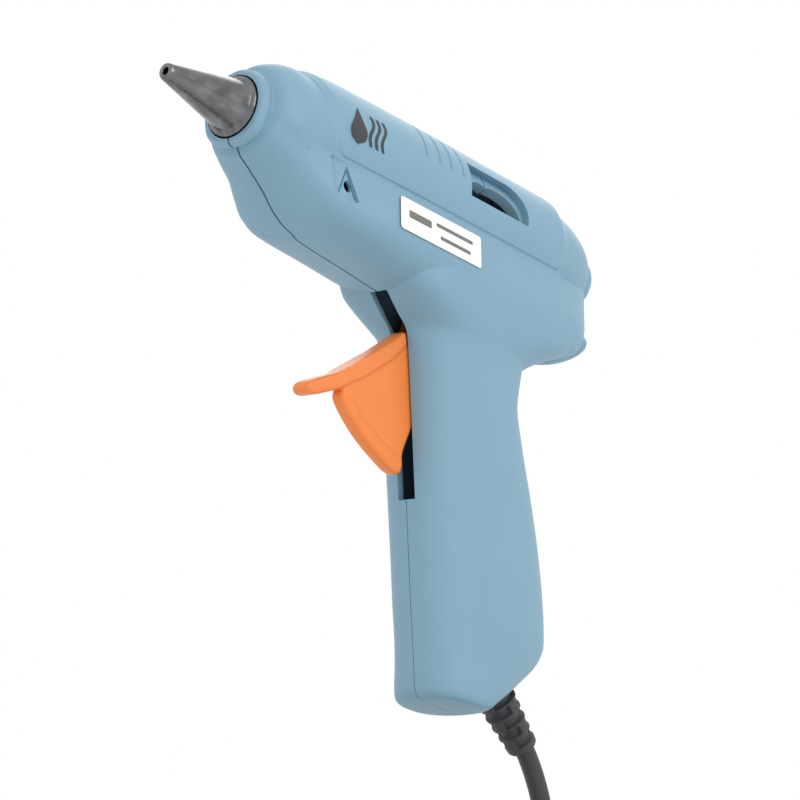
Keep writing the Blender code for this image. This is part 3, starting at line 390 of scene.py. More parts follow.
tie_paper = mixed_finish("tie_paper", paint(50, 50, 52), paint(38, 38, 40), 3.0, 0.4, 0.03, 0.45, 0.1)
coil_tie = make_piece("coil_tie_wrapped", bm, MM, tie_paper, "casing", "black_rubber", "coil_tie")

# ---- Bend guard
# A tapered black rubber sleeve, held by its flange in the corner of the grip. Rows of slots, each
# row turned a quarter from the next, let it flex with the lead.
SLOT_ROWS = 5
bm = bmesh.new()
turn = RELIEF_AXIS.to_track_quat("Z", "Y")
rings = []
outer_steps = [0.0, 0.2, 1.6, 1.8, 2.0, 4.6, 5.0] + [5.3 + 0.2 * i for i in range(100)] + [25.5, 25.85, 26.0]
for along in outer_steps:
    if along < 1.75:
        sleeve_radius = 7.6 if along > 0.1 else 7.3
    else:
        sleeve_radius = 5.4 if along < 4.9 else 5.75 - 1.55 * (along - 5) / 21
    ring = []
    for i in range(96):
        angle = 2 * pi * i / 96
        radius = sleeve_radius
        if 6.4 < along < 24.0:
            row, share = divmod((along - 6.4) / 17.6 * SLOT_ROWS, 1.0)
            bridge = abs(((angle / pi * 2 + row) % 2) - 1.0)
            cut = soft_step((0.42 - abs(share - 0.5)) / 0.10) * soft_step((bridge - 0.22) / 0.06)
            radius -= 1.25 * cut
        if along > 25.4:
            radius -= (along - 25.4) * 0.7
        ring.append(RELIEF_START + turn @ Vector((radius * cos(angle), radius * sin(angle), along)))
    rings.append(ring)
bore = LEAD_R + 0.2
for along in (26.0, 13.0, 0.0):
    angles = [2 * pi * i / 96 for i in range(96)]
    rings.append([RELIEF_START + turn @ Vector((bore * cos(a), bore * sin(a), along)) for a in angles])
skin(bm, rings, closed=True)
guard_rubber = mixed_finish("guard_rubber", paint(66, 66, 69), paint(54, 54, 57), 5.0, 0.3, 0.015, 0.55, 0.08)
make_piece("bend_guard", bm, BARREL, guard_rubber, "casing", "black_rubber", "strain_relief")

# ---- Cord clamp and cores
# A black nylon saddle, pulled down on the sheath by two screws, keeps a tug on the lead off the
# brown and blue cores that run up the grip to the heater.
def refinish(node, finish):
    """Give a CAD node that stays its own finish."""
    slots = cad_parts[node].material_slots
    if not slots:
        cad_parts[node].data.materials.append(finish)
    for slot in slots:
        slot.material = finish


refinish("cord_clamp", mixed_finish("black_nylon", paint(44, 44, 46), paint(34, 34, 36), 3.0, 0.3, 0.02,
                                    0.45, 0.08))
bright_steel = mixed_finish("bright_steel", (0.56, 0.56, 0.57), (0.44, 0.44, 0.46), 2.0, 0.25, 0.004, 0.3,
                            0.1, 1.0)
for node in ("clamp_screw_1", "clamp_screw_2"):
    refinish(node, bright_steel)
refinish("live_wire", mixed_finish("brown_core", paint(120, 72, 45), paint(100, 58, 36), 3.0, 0.3, 0.01,
                                   0.4, 0.06))
refinish("neutral_wire", mixed_finish("blue_core", paint(52, 92, 170), paint(42, 78, 150), 3.0, 0.3, 0.01,
                                      0.4, 0.06))

# ---- Melt chamber and heater
# A cast zinc alloy tube with the heater's pocket underneath, a ceramic pill between two brass
# electrodes, a steel spring clip, two brown phenolic rings and a silicone sleeve with its wire clip.
refinish("melt_chamber", mixed_finish("chamber_casting", (0.34, 0.34, 0.35), (0.24, 0.24, 0.25), 3.0, 0.4,
                                      0.05, 0.5, 0.15, 1.0))
refinish("ptc_heater", mixed_finish("heater_ceramic", paint(205, 198, 184), paint(188, 180, 164), 2.0, 0.15,
                                    0.01, 0.7, 0.1))
sheet_brass = mixed_finish("sheet_brass", (0.66, 0.47, 0.20), (0.50, 0.33, 0.13), 3.0, 0.3, 0.004, 0.32,
                           0.1, 1.0)
refinish("electrode_upper", sheet_brass)
refinish("electrode_lower", sheet_brass)
refinish("heater_clip", bright_steel)
phenolic = mixed_finish("brown_phenolic", paint(104, 66, 44), paint(84, 50, 34), 1.5, 0.2, 0.02, 0.6, 0.1)
refinish("front_bracket", phenolic)
refinish("rear_bracket", phenolic)
refinish("inlet_sleeve", mixed_finish("white_silicone", paint(214, 210, 200), paint(198, 194, 184), 4.0,
                                      0.3, 0.01, 0.45, 0.08))
refinish("sleeve_clip", bright_steel)

# ---- Nozzle
# Die cast zinc, screwed into the chamber: a long cone with a rounded rim, a flange that sits in the
# casing's mouth, a faint parting line and the drawn look of tumbled raw metal. Its mottle is partly
# the zinc's own and partly painted reflection: the near black patches stand in for a dark surround.
NOZZLE_TIP = 101.8
cone = round_corners(
    [(65.0, 2.4), (74.0, 2.4), (74.0, 1.5), (97.0, 1.15), (101.5, 0.95), (NOZZLE_TIP, 1.2),
     (NOZZLE_TIP, 2.05), (101.0, 2.4),
     (78.9, 6.85), (77.6, 7.15), (77.2, 8.25), (75.4, 8.4), (74.9, 8.0), (73.0, 8.0), (73.0, 4.9),
     (65.4, 4.9), (65.0, 4.5)],
    0.35, 3)
bm = bmesh.new()
PARTING_FLASH, PARTING_AT, PARTING_FROM, PARTING_TO = 0.07, (2, 62), 79.0, 101.2
rings = []
for along, radius in cone:
    parted = PARTING_FROM < along < PARTING_TO and radius > 2.2
    radii = [radius + (PARTING_FLASH if parted and i in PARTING_AT else 0.0) for i in range(120)]
    rings.append([(along, r * cos(2 * pi * i / 120), r * sin(2 * pi * i / 120)) for i, r in enumerate(radii)])
skin(bm, rings, closed=True)
bmesh.ops.subdivide_edges(bm, edges=[e for e in bm.edges if e.calc_length() > 6.0], cuts=6)
# Painted reflection: the near black second colour and the strong mottle stand in for dark reflections on the
# metal; the streaks along the axis are the zinc's own.
cast_zinc = mixed_finish("cast_zinc", (0.30, 0.305, 0.31), (0.035, 0.036, 0.038), 2.0, 0.75, 0.09, 0.22,
                         0.16, 1.0, (0.3, 1, 0.6))
make_piece("nozzle_cast", bm, BARREL, cast_zinc, "casing", "nozzle_zinc", "nozzle")

# ---- Drip valve
# A steel ball that a light spring presses against the chamber's outlet, so that melted glue stays
# in until the stick is pushed. The spring is drawn wire, squared at both ends.
refinish("nozzle_ball", bright_steel)


def wind_spring(bm, start, end, coil_r, wire_r, turns, per_turn=28):
    """A helix of round wire between two places, with its end turns lying flat."""
    start, end = Vector(start), Vector(end)
    turn = (end - start).to_track_quat("Z", "Y")
    tall = (end - start).length - 2 * wire_r
    flat = 2 * wire_r
    rings = []
    for i in range(int(turns * per_turn) + 1):
        angle = 2 * pi * i / per_turn
        passed = i / per_turn
        if passed < 1:
            level = flat * passed ** 2
        elif passed > turns - 1:
            level = tall - flat * (turns - passed) ** 2
        else:
            level = flat + (tall - 2 * flat) * (passed - 1) / (turns - 2)
        out = Vector((cos(angle), sin(angle), 0))
        middle = out * coil_r + Vector((0, 0, level + wire_r))
        rings.append([start + turn @ (middle + out * wire_r * cos(a) + Vector((0, 0, wire_r * sin(a))))
                      for a in (2 * pi * k / 8 for k in range(8))])
    skin(bm, rings)


spring_steel = mixed_finish("spring_steel", (0.48, 0.48, 0.5), (0.36, 0.36, 0.38), 1.5, 0.2, 0.003, 0.28,
                            0.08, 1.0)
bm = bmesh.new()
wind_spring(bm, (69.9, 0, 0), (73.6, 0, 0), 1.75, 0.25, 4)
make_piece("ball_spring_wound", bm, BARREL, spring_steel, "casing", "steel", "ball_spring")

# ---- Feed carriage
# A moulded orange ring round the glue stick. Its two side pins ride in the trigger's fork, and a
# toothed steel jaw in its underside bites the stick when the ring is pushed forward.
CARRIAGE_X = -18.49


def orange_plastic(name, deeper):
    """The trigger's glossy orange moulding, a little deeper in tone where asked."""
    return mixed_finish(name, [v * deeper for v in paint(240, 136, 62)],
                        [v * deeper for v in paint(232, 126, 54)],
                        9.0, 0.9, 0.012, 0.36, 0.05)


bm = bmesh.new()
ring_profile = round_corners([(4.2, 6.0), (4.2, 8.0), (3.2, 8.6), (-3.2, 8.6), (-4.2, 8.0), (-4.2, 6.0)],
                             0.5, 4)
lathe(bm, ring_profile, (CARRIAGE_X, 0, 0), (1, 0, 0), 96)
carriage = make_piece("feed_carriage_moulded", bm, BARREL, orange_plastic("carriage_orange", 1.0), "carriage",
                      "trigger_orange", "feed_carriage")


def carve(piece, bm, place, operation="DIFFERENCE"):
    """Cut a millimetre shape out of a piece, or join it on."""
    bmesh.ops.recalc_face_normals(bm, faces=bm.faces)
    mesh = bpy.data.meshes.new("carving")
    bm.to_mesh(mesh)
    bm.free()
    mesh.transform(place)
    tool = bpy.data.objects.new("carving", mesh)
    bpy.context.scene.collection.objects.link(tool)
    step = piece.modifiers.new("carve", "BOOLEAN")
    step.operation = operation
    step.object = tool
    step.solver = "EXACT"
    bpy.context.view_layer.update()
    shaped = bpy.data.meshes.new_from_object(piece.evaluated_get(bpy.context.evaluated_depsgraph_get()))
    piece.modifiers.clear()
    piece.data = shaped
    shaped.shade_smooth()
    shaped.set_sharp_from_angle(angle=radians(40))
    bpy.data.objects.remove(tool, do_unlink=True)
    bpy.data.meshes.remove(mesh)


def add_block(bm, low, high):
    """A rectangular block between two corners."""
    rings = [[(x, low[1], low[2]), (x, high[1], low[2]), (x, high[1], high[2]), (x, low[1], high[2])]
             for x in (low[0], high[0])]
    skin(bm, rings)


for side in (1, -1):
    bm = bmesh.new()
    pin = [(7.2, 0.01), (7.2, 1.8), (11.0, 1.8), (11.3, 1.6), (11.4, 1.2), (11.4, 0.01)]
    lathe(bm, pin, (CARRIAGE_X, 0, 0), (0, side, 0), 32, bored=False)
    carve(carriage, bm, BARREL, "UNION")
bm = bmesh.new()
add_block(bm, (CARRIAGE_X - 2.6, -2.6, -12), (CARRIAGE_X + 5, 2.6, -4.5))
carve(carriage, bm, BARREL)
refinish("grip_jaw", bright_steel)

# ---- Trigger
# One orange moulding: a thick finger fin with rounded edges and a flat lip along its top, a hub on
# the pivot pin, a fork that reaches up to the carriage and a short arm behind that holds the spring.
PIVOT = (-11.1, -38.0)
SWING = radians(22.0)


def round_plate(bm, outline, half, edge, place=(0.0, 0.0)):
    """A flat outline of (x, z) thickened both ways along y, with its whole rim rounded."""
    points = [Vector(p) for p in outline]
    area = sum(a.x * b.y - b.x * a.y for a, b in zip(points, points[1:] + points[:1]))
    inward = []
    for i in range(len(points)):
        along = (points[(i + 1) % len(points)] - points[i - 1]).normalized()
        inward.append(Vector((-along.y, along.x)) * (1 if area > 0 else -1))
    rings = []
    steps = 6
    for i in range(steps * 2 + 2):
        k = i if i <= steps else i - 1
        lift = -pi / 2 + pi * k / (steps * 2)
        inset = edge * (1 - cos(lift))
        level = (half - edge) * (-1 if i <= steps else 1) + edge * sin(lift)
        rings.append([(p.x + n.x * inset + place[0], level + place[1], p.y + n.y * inset)
                      for p, n in zip(points, inward)])
    skin(bm, rings)


fin = [(-11.0, -35.0), (-2.0, -35.6), (8.6, -43.6), (19.3, -52.0), (25.6, -60.8), (22.0, -64.6),
       (15.8, -69.0), (10.2, -71.8), (2.4, -74.9), (-0.8, -75.3), (-2.2, -74.2), (-2.3, -71.8),
       (-1.5, -69.6), (-4.6, -60.0), (-10.6, -48.0), (-14.6, -40.0)]
lip = [(2.6, -40.4), (4.0, -36.6), (9.2, -41.3), (19.8, -50.1), (27.7, -55.9), (35.6, -60.0),
       (38.4, -61.8), (38.9, -63.4), (38.0, -64.7), (36.2, -64.8), (34.0, -64.0), (26.4, -60.2),
       (17.8, -54.6), (7.4, -46.2)]
bead = [(21.4, -60.9), (14.9, -65.4), (9.4, -67.9), (2.6, -70.5), (2.2, -71.4), (9.1, -68.9),
        (14.3, -66.5), (20.8, -61.9)]
bm = bmesh.new()
round_plate(bm, round_corners(fin, 3.0, 4), 2.3, 1.5)
round_plate(bm, round_corners(lip, 1.2, 4), 3.1, 1.2)
round_plate(bm, bead, 2.75, 0.4)
lathe(bm, round_corners([(-11.4, 0.01), (-11.4, 3.8), (11.4, 3.8), (11.4, 0.01)], 0.5, 3, closed=False),
      (PIVOT[0], 0, PIVOT[1]), (0, 1, 0), 48, bored=False)
fork = [(-2.4, -3.2), (2.4, -3.2), (3.5, 0.0), (3.9, 20.0), (3.9, 40.6), (2.15, 41.4), (2.15, 35.6),
        (-2.15, 35.6), (-2.15, 41.4), (-3.9, 40.6), (-3.9, 20.0), (-3.5, 0.0)]
lean = -SWING / 2
leaning = [(PIVOT[0] + x * cos(lean) + z * sin(lean), PIVOT[1] - x * sin(lean) + z * cos(lean))
           for x, z in round_corners(fork, 0.5, 3)]
for side in (1, -1):
    round_plate(bm, leaning, 1.0, 0.3, (0.0, side * 10.6))
add_block(bm, (PIVOT[0] - 22.0, -3.4, PIVOT[1] - 3.4), (PIVOT[0], 3.4, PIVOT[1] - 0.4))
trigger = make_piece("trigger_moulded", bm, BARREL, orange_plastic("trigger_orange", 1.0), "trigger",
                     "trigger_orange", "trigger")
knit = trigger.modifiers.new("knit", "REMESH")
knit.mode = "VOXEL"
knit.voxel_size = 0.00032
knit.use_smooth_shade = True
ease = trigger.modifiers.new("ease", "SMOOTH")
ease.factor = 0.5
ease.iterations = 5
bpy.context.view_layer.update()
knitted = bpy.data.meshes.new_from_object(trigger.evaluated_get(bpy.context.evaluated_depsgraph_get()))
trigger.modifiers.clear()
trigger.data = knitted
bm = bmesh.new()
lathe(bm, [(-20, 0.01), (-20, 1.95), (20, 1.95), (20, 0.01)], (PIVOT[0], 0, PIVOT[1]), (0, 1, 0), 48,
      bored=False)
carve(trigger, bm, BARREL)
refinish("trigger_pivot_pin", bright_steel)

# ---- Return spring
# Seven turns of drawn wire between the trigger's rear arm and a shelf in the casing. It is pressed
# to a little over half its length when the trigger is pulled home.
SPRING_FOOT = (-8.90, 0.0, 41.48)
SPRING_TOP = 57.88
bm = bmesh.new()
wind_spring(bm, SPRING_FOOT, (SPRING_FOOT[0], 0.0, SPRING_TOP), 2.4, 0.35, 7)
spring = make_piece("return_spring_wound", bm, MM, spring_steel, "casing", "steel", "return_spring")
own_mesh(spring)

# ---- Half casings
# Two halves moulded in blue glass filled nylon with a satin skin, meeting on the middle plane. Posts
# for the screws, ribs that hold the chamber and a rail for the carriage are moulded inside.
BARREL_STATIONS = [  # x, radius of the top, half width at the lower crease, its height, underside
    (-62.6, 6.8, 8.2, -15.5, -19.6), (-61.6, 8.6, 9.5, -15.9, -21.4), (-58.0, 11.6, 12.6, -16.6, -24.4),
    (-52.0, 14.2, 15.9, -17.0, -27.0), (-46.0, 15.6, 17.3, -17.3, -28.4),
    (-43.0, 16.1, 17.7, -17.4, -28.8), (-39.0, 17.5, 18.2, -17.6, -29.4),
    (-15.0, 17.6, 18.3, -18.0, -29.6), (10.0, 17.7, 18.3, -18.2, -29.0),
    (30.0, 17.6, 18.2, -18.4, -27.4), (46.0, 17.4, 17.9, -18.6, -26.0), (52.0, 17.2, 17.0, -17.0, -24.6),
    (57.0, 16.8, 15.4, -13.5, -21.8), (61.5, 16.3, 14.0, -10.0, -18.0), (66.0, 15.7, 13.2, -7.5, -15.0),
    (69.7, 14.2, 12.2, -5.6, -12.7), (71.6, 12.7, 11.3, -4.8, -11.7), (72.4, 11.2, 10.2, -4.5, -10.6),
    (73.0, 10.45, 9.5, -4.2, -9.9), (74.4, 10.75, 9.9, -4.0, -10.5), (75.6, 10.5, 9.6, -3.9, -10.3),
    (76.3, 10.0, 9.2, -3.7, -9.8), (76.6, 9.5, 8.9, -3.6, -9.5),
]
HANDLE_STATIONS = [  # z, front x, back x, half width
    (-130.8, -23.0, -38.6, 10.4), (-130.3, -21.2, -40.6, 11.8), (-129.2, -20.0, -42.8, 12.6),
    (-127.6, -19.3, -44.8, 13.0), (-120.0, -17.4, -53.6, 13.7), (-111.0, -15.0, -61.9, 14.6),
    (-107.6, -14.1, -62.9, 14.9), (-106.0, -13.7, -62.7, 15.0), (-98.0, -11.7, -61.0, 15.0),
    (-84.0, -8.2, -56.4, 15.0), (-70.0, -4.7, -50.4, 15.0), (-56.0, -1.2, -43.6, 15.0),
    (-45.0, 1.6, -39.6, 15.3), (-36.5, 4.2, -39.8, 15.8), (-33.0, 8.4, -42.4, 16.5),
    (-30.0, 11.9, -46.6, 17.2), (-27.0, 15.0, -51.5, 17.7), (-22.0, 16.5, -55.0, 18.0),
    (-18.4, 17.0, -56.5, 18.05), (-16.0, 17.0, -56.5, 17.0),
]
WALL = 2.2
SEAM = 0.1
KEEL_SEAM = 0.3
PANEL_FROM, PANEL_TO, PANEL_PROUD = -39.3, 52.6, 0.35
SHOULDER_X = 54.0
NOSE_STEP, FLANK_STEP, BELLY_STEP, SOCKET_LINE = 0.4, 0.7, 0.5, 0.5
GROOVES = (20.0, 14.6, 9.8, 4.8)
WINDOW = (-23.1, 1.6, 0.4, 10.2)
SCREWS = [(45.0, -20.4, 11.5), (16.5, -22.6, 11.5), (-54.0, -13.5, 12.2), (-27.0, -93.0, 13.5),
          (-27.0, -121.0, 10.4)]


def steady(rows, at):
    """Values between measured stations on curves that never overshoot them."""
    last = len(rows) - 2
    k = min(max(sum(1 for row in rows if row[0] <= at) - 1, 0), last)

    def secant(i, column):
        return (rows[i + 1][column] - rows[i][column]) / (rows[i + 1][0] - rows[i][0])

    def slope(i, column):
        before, after = secant(max(i - 1, 0), column), secant(min(i, last), column)
        return 0.0 if before * after <= 0 else 2 * before * after / (before + after)

    span = rows[k + 1][0] - rows[k][0]
    t = (at - rows[k][0]) / span
    return [(2 * t ** 3 - 3 * t ** 2 + 1) * rows[k][c] + (t ** 3 - 2 * t ** 2 + t) * span * slope(k, c)
            + (3 * t ** 2 - 2 * t ** 3) * rows[k + 1][c] + (t ** 3 - t ** 2) * span * slope(k + 1, c)
            for c in range(1, len(rows[0]))]


def shoulder_lean(z):
    """How far the nose's shoulder runs forward of its middle at a height."""
    marks = [(-25.8, -8.7), (-19.4, -3.0), (-9.5, 0.0), (-5.6, 1.0), (3.5, 3.3), (16.0, 6.9), (18.5, 7.4)]
    return steady(marks, min(max(z, marks[0][0]), marks[-1][0]))[0]


def barrel_section(x, inset, arc_shares, band_shares, under_shares):
    """Half a cross section of the barrel from its top to its keel: (y, z, share of the way round the top)."""
    radius, width, crease, keel = steady(BARREL_STATIONS, x)
    radius, width, keel = radius - inset, width - inset, keel + inset
    edge_z = (-7.0 + 1.3 * log(1.0 + exp((crease + 8.2) / 1.3))) * min(1.0, radius / 16.0)
    edge_z = max(edge_z, crease + 0.8)
    low = -min(pi / 3, abs(edge_z) / radius)
    half = [(radius * cos(pi / 2 + (low - pi / 2) * t), radius * sin(pi / 2 + (low - pi / 2) * t), t)
            for t in arc_shares]
    y0, z0 = half[-1][:2]
    half += [(y0 + (width - y0) * t, z0 + (crease - z0) * t, 1.0 + t) for t in band_shares]
    squareness = 2.0 + 2.6 * soft_step((6.0 - x) / 24.0)
    half += [(width * cos(pi / 2 * t) ** (2 / squareness) if t < 1 else 0.0,
              crease + (keel - crease) * sin(pi / 2 * t) ** (2 / squareness), 2.0 + t) for t in under_shares]
    nose = soft_step((x - 55.0) / 7.0)
    return ease_section(half, 2.4 * nose) if nose and len(half) > 40 else half


def ease_section(half, reach):
    """Round off the creases of half a section by averaging each point with its neighbours within reach."""
    placed = [0.0]
    for a, b in zip(half, half[1:]):
        placed.append(placed[-1] + ((b[0] - a[0]) ** 2 + (b[1] - a[1]) ** 2) ** 0.5)
    eased = []
    for i, (y, z, place) in enumerate(half):
        span = min(reach, placed[i], placed[-1] - placed[i])
        total = [0.0, 0.0, 0.0]
        for j, (other_y, other_z, _) in enumerate(half):
            gap = abs(placed[j] - placed[i])
            if gap < span:
                stretch = (placed[min(j + 1, len(half) - 1)] - placed[max(j - 1, 0)]) * (1 - gap / span)
                total = [total[0] + stretch * other_y, total[1] + stretch * other_z, total[2] + stretch]
        eased.append((total[0] / total[2], total[1] / total[2], place) if span > 0.05 and total[2] > 0
                     else (y, z, place))
    return eased


def relief_height(x, z, place):
    """How proud the raised panel and the four grooves make the skin."""
    proud = 0.0
    if place <= 1.0 + 1e-6:
        inside_panel = soft_step((PANEL_TO - x) / 0.5) * soft_step((x - PANEL_FROM) / 0.5)
        inside_panel *= soft_step((0.992 - place) / 0.012)
        near_corner = Vector((max(0.0, x - (PANEL_TO - 4.5)) / 4.5, max(0.0, place - 0.875) / 0.125))
        inside_panel *= soft_step((1.02 - near_corner.length) / 0.1)
        proud += PANEL_PROUD * inside_panel
    for groove in GROOVES:
        if 4.0 < z < 17.0 and place <= 1.0:
            reach = soft_step((z - 4.2) / 0.5) * soft_step((16.2 - z) / 4.0)
            wide = 0.9 if z < 5.4 else 0.65
            deep = 0.8 if z < 5.4 else 0.6
            proud -= deep * reach * soft_step(1.0 - abs(x - groove) / wide)
    return proud


def barrel_skin(bm, inset, fine):
    """The barrel's closed skin; the fine one carries the moulded relief."""
    if fine:
        lines = [-62.6 + 0.3 * i for i in range(15)] + [-58.0 + 1.0 * i for i in range(15)]
        lines += [-43.6 + 0.2 * i for i in range(26)] + [-38.0 + 2.0 * i for i in range(21)]
        for groove in GROOVES:
            lines += [groove + 0.15 * k for k in range(-6, 7)]
        lines += [3.2, 7.3, 12.2, 17.3, 21.6] + [23.0 + 2.0 * i for i in range(12)]
        lines += [47.0 + 0.35 * i for i in range(20)] + [54.2 + 0.5 * i for i in range(30)]
        lines += [69.2 + 0.2 * i for i in range(37)] + [76.6]
        lines = sorted(set(round(x, 3) for x in lines
                           if not (2.0 < x < 22.0 and abs(x - round(x / 2) * 2) < 1e-6)))
        lines = [a for a, b in zip(lines, lines[1:] + [999]) if b - a > 0.08]
        arc = [i / 40 * 0.96 for i in range(40)] + [0.96 + 0.004 * i for i in range(11)]
        band = [0.015, 0.04, 0.1, 0.2, 0.3, 0.4, 0.5, 0.6, 0.7, 0.8, 0.88, 0.94, 0.975, 1.0]
        under = [0.02, 0.05, 0.1, 0.2, 0.3, 0.4, 0.5, 0.6, 0.7, 0.8, 0.9, 1.0]
    else:
        lines = [-60.4, -58, -52, -43, -39, -15, 10, 30, 46, 52, 57, 61.5, 66, 69.7, 71.6]
        arc = [i / 10 for i in range(11)]
        band = [0.5, 1.0]
        under = [0.25, 0.5, 0.75, 1.0]
    rings = []
    for x in lines:
        fade = max(0.0, 1.0 - abs(x - SHOULDER_X) / 15.0) if fine else 0.0
        half = barrel_section(x, inset, arc, band, under)
        shaped = []
        for i, (y, z, place) in enumerate(half):
            moved = x + shoulder_lean(z) * fade
            if fade:
                y, z = barrel_section(moved, inset, arc, band, under)[i][:2]
            if fine:
                near, far = half[max(i - 1, 0)], half[min(i + 1, len(half) - 1)]
                out = Vector((near[1] - far[1], far[0] - near[0])).normalized()
                if out.dot(Vector((half[i][0], half[i][1] + 6.0))) < 0:
                    out = -out
                rise = relief_height(x, z, place)
                past = x - SHOULDER_X
                nose_fade = soft_step((62.0 - x) / 8.0)
                below_panel = soft_step((place - 1.03) / 0.06)
                if place < 2.0:
                    above_belly = soft_step((1.3 - place) / 0.3)
                    rise -= NOSE_STEP * soft_step((past + 0.1) / 0.5) * nose_fade * above_belly
                    rise -= (SOCKET_LINE * soft_step(1.0 - abs(past + 0.8) / 0.9) * below_panel
                             * soft_step((1.8 - place) / 0.1))
                    rise -= FLANK_STEP * soft_step(-past / 0.6) * soft_step((x - 38.0) / 14.0) * below_panel
                else:
                    under_belly = soft_step((place - 2.2) / 0.4)
                    rise -= BELLY_STEP * soft_step((past + 0.1) / 0.8) * nose_fade * under_belly
                y, z = y + out.x * rise, z + out.y * rise
                if i in (0, len(half) - 1):
                    y = 0.0
            shaped.append((moved, y, z))
        rings.append(shaped + [(px, -py, pz) for px, py, pz in reversed(shaped[1:-1])])
    skin(bm, rings)


def handle_skin(bm, inset, levels, around):
    """The grip's closed skin, rounded oblongs from the barrel down to the heel."""
    rings = []
    for z in levels:
        front, back, width = steady(HANDLE_STATIONS, z)
        front, back, width = front - inset, back + inset, width - inset
        middle, reach = (front + back) / 2, (front - back) / 2
        squareness = 2.4 + 3.0 * soft_step((z + 36.0) / 12.0)
        ring = []
        for i in range(around):
            angle = 2 * pi * i / around
            c, s = cos(angle), sin(angle)
            ring.append((middle + reach * abs(c) ** (2 / squareness) * (1 if c >= 0 else -1),
                         width * abs(s) ** (2 / squareness) * (1 if s >= 0 else -1), z))
        rings.append(ring)
    skin(bm, rings)


def flat_plate(bm, outline, y_from, y_to):
    """A flat outline of (x, z) between two planes."""
    skin(bm, [[(x, y, z) for x, z in outline] for y in (y_from, y_to)])


def window_outline(grow):
    """The stick window: square in front, a quarter round behind."""
    x_from, x_to, z_from, z_to = WINDOW[0] - grow, WINDOW[1] + grow, WINDOW[2], WINDOW[3] + grow
    reach = 8.4 + grow
    outline = [(x_from, z_from)]
    outline += [(x_from + reach * (1 - sin(a)), z_to - reach * (1 - cos(a)))
                for a in (pi / 2 * i / 16 for i in range(16, -1, -1))]
    return outline + [(x_to, z_to), (x_to, z_from)]


blue_nylon = mixed_finish("blue_nylon", paint(124, 162, 182), paint(119, 157, 178), 14.0, 0.55, 0.016, 0.5,
                          0.05)

bm = bmesh.new()
barrel_skin(bm, 0.0, True)
casing = make_piece("casing_blank", bm, BARREL, blue_nylon, "casing", "casing_blue")
bm = bmesh.new()
handle_levels = [-130.8, -130.5, -130.1, -129.8, -129.2, -128.4, -127.6]
handle_levels += [-126.0 + 2.0 * i for i in range(45)]
handle_levels += [-37.0 + 0.75 * i for i in range(20)] + [-21.5, -20.0, -18.0, -16.0]
handle_skin(bm, 0.0, handle_levels, 96)
carve(casing, bm, BARREL, "UNION")
bm = bmesh.new()
lathe(bm, round_corners([(-58.0, 0.01), (-58.0, 8.1), (-65.3, 8.1), (-65.3, 0.01)], 1.8, 6, closed=False),
      (0, 0, 0.2), (1, 0, 0), 64, bored=False)
bump = [(12.6 * cos(pi * i / 20), sin(pi * i / 20)) for i in range(21)]
carve(casing, bm, BARREL, "UNION")
bm = bmesh.new()
skin(bm, [[(-58.8 + 5.4 * max(s, 0.02) * cos(a), y, -20.3 + 4.7 * max(s, 0.02) * sin(a))
           for a in (2 * pi * k / 40 for k in range(40))] for y, s in bump])
carve(casing, bm, BARREL, "UNION")

bm = bmesh.new()
barrel_skin(bm, WALL, False)
carve(casing, bm, BARREL)
bm = bmesh.new()
handle_skin(bm, WALL, [-128.2, -127.6, -120, -111, -107, -98, -84, -70, -56, -45, -36.5, -33, -30, -27, -22,
                       -16.2], 40)
carve(casing, bm, BARREL)
bm = bmesh.new()
lathe(bm, [(60, 0.01), (60, 8.7), (90, 8.7), (90, 0.01)], (0, 0, 0), (1, 0, 0), 80, bored=False)
lathe(bm, [(-80, 0.01), (-80, 6.6), (-50, 6.6), (-50, 0.01)], (0, 0, 0), (1, 0, 0), 64, bored=False)
lathe(bm, [(-4, 0.01), (-4, 6.3), (22, 6.3), (22, 0.01)], RELIEF_START, RELIEF_AXIS, 48, bored=False)
flat_plate(bm, [(14.2, -26.3), (14.2, -30.2), (30, -34), (30, -80), (-18, -80), (-9, -50), (-3, -34),
                (-2, -26.3)], -2.9, 2.9)
carve(casing, bm, BARREL)


FLANK_TOP_Y, FLANK_TOP_Z, FLANK_SLOPE = 15.42, -6.81, 0.1624


def sink_outline(bm, outline, side, depth):
    """A cutter that follows the leaning flank under the panel, a depth below its skin."""
    skin(bm, [[(x, side * (FLANK_TOP_Y - depth - FLANK_SLOPE * (z - FLANK_TOP_Z) + out), z)
               for x, z in outline] for out in (0.0, 6.0)])


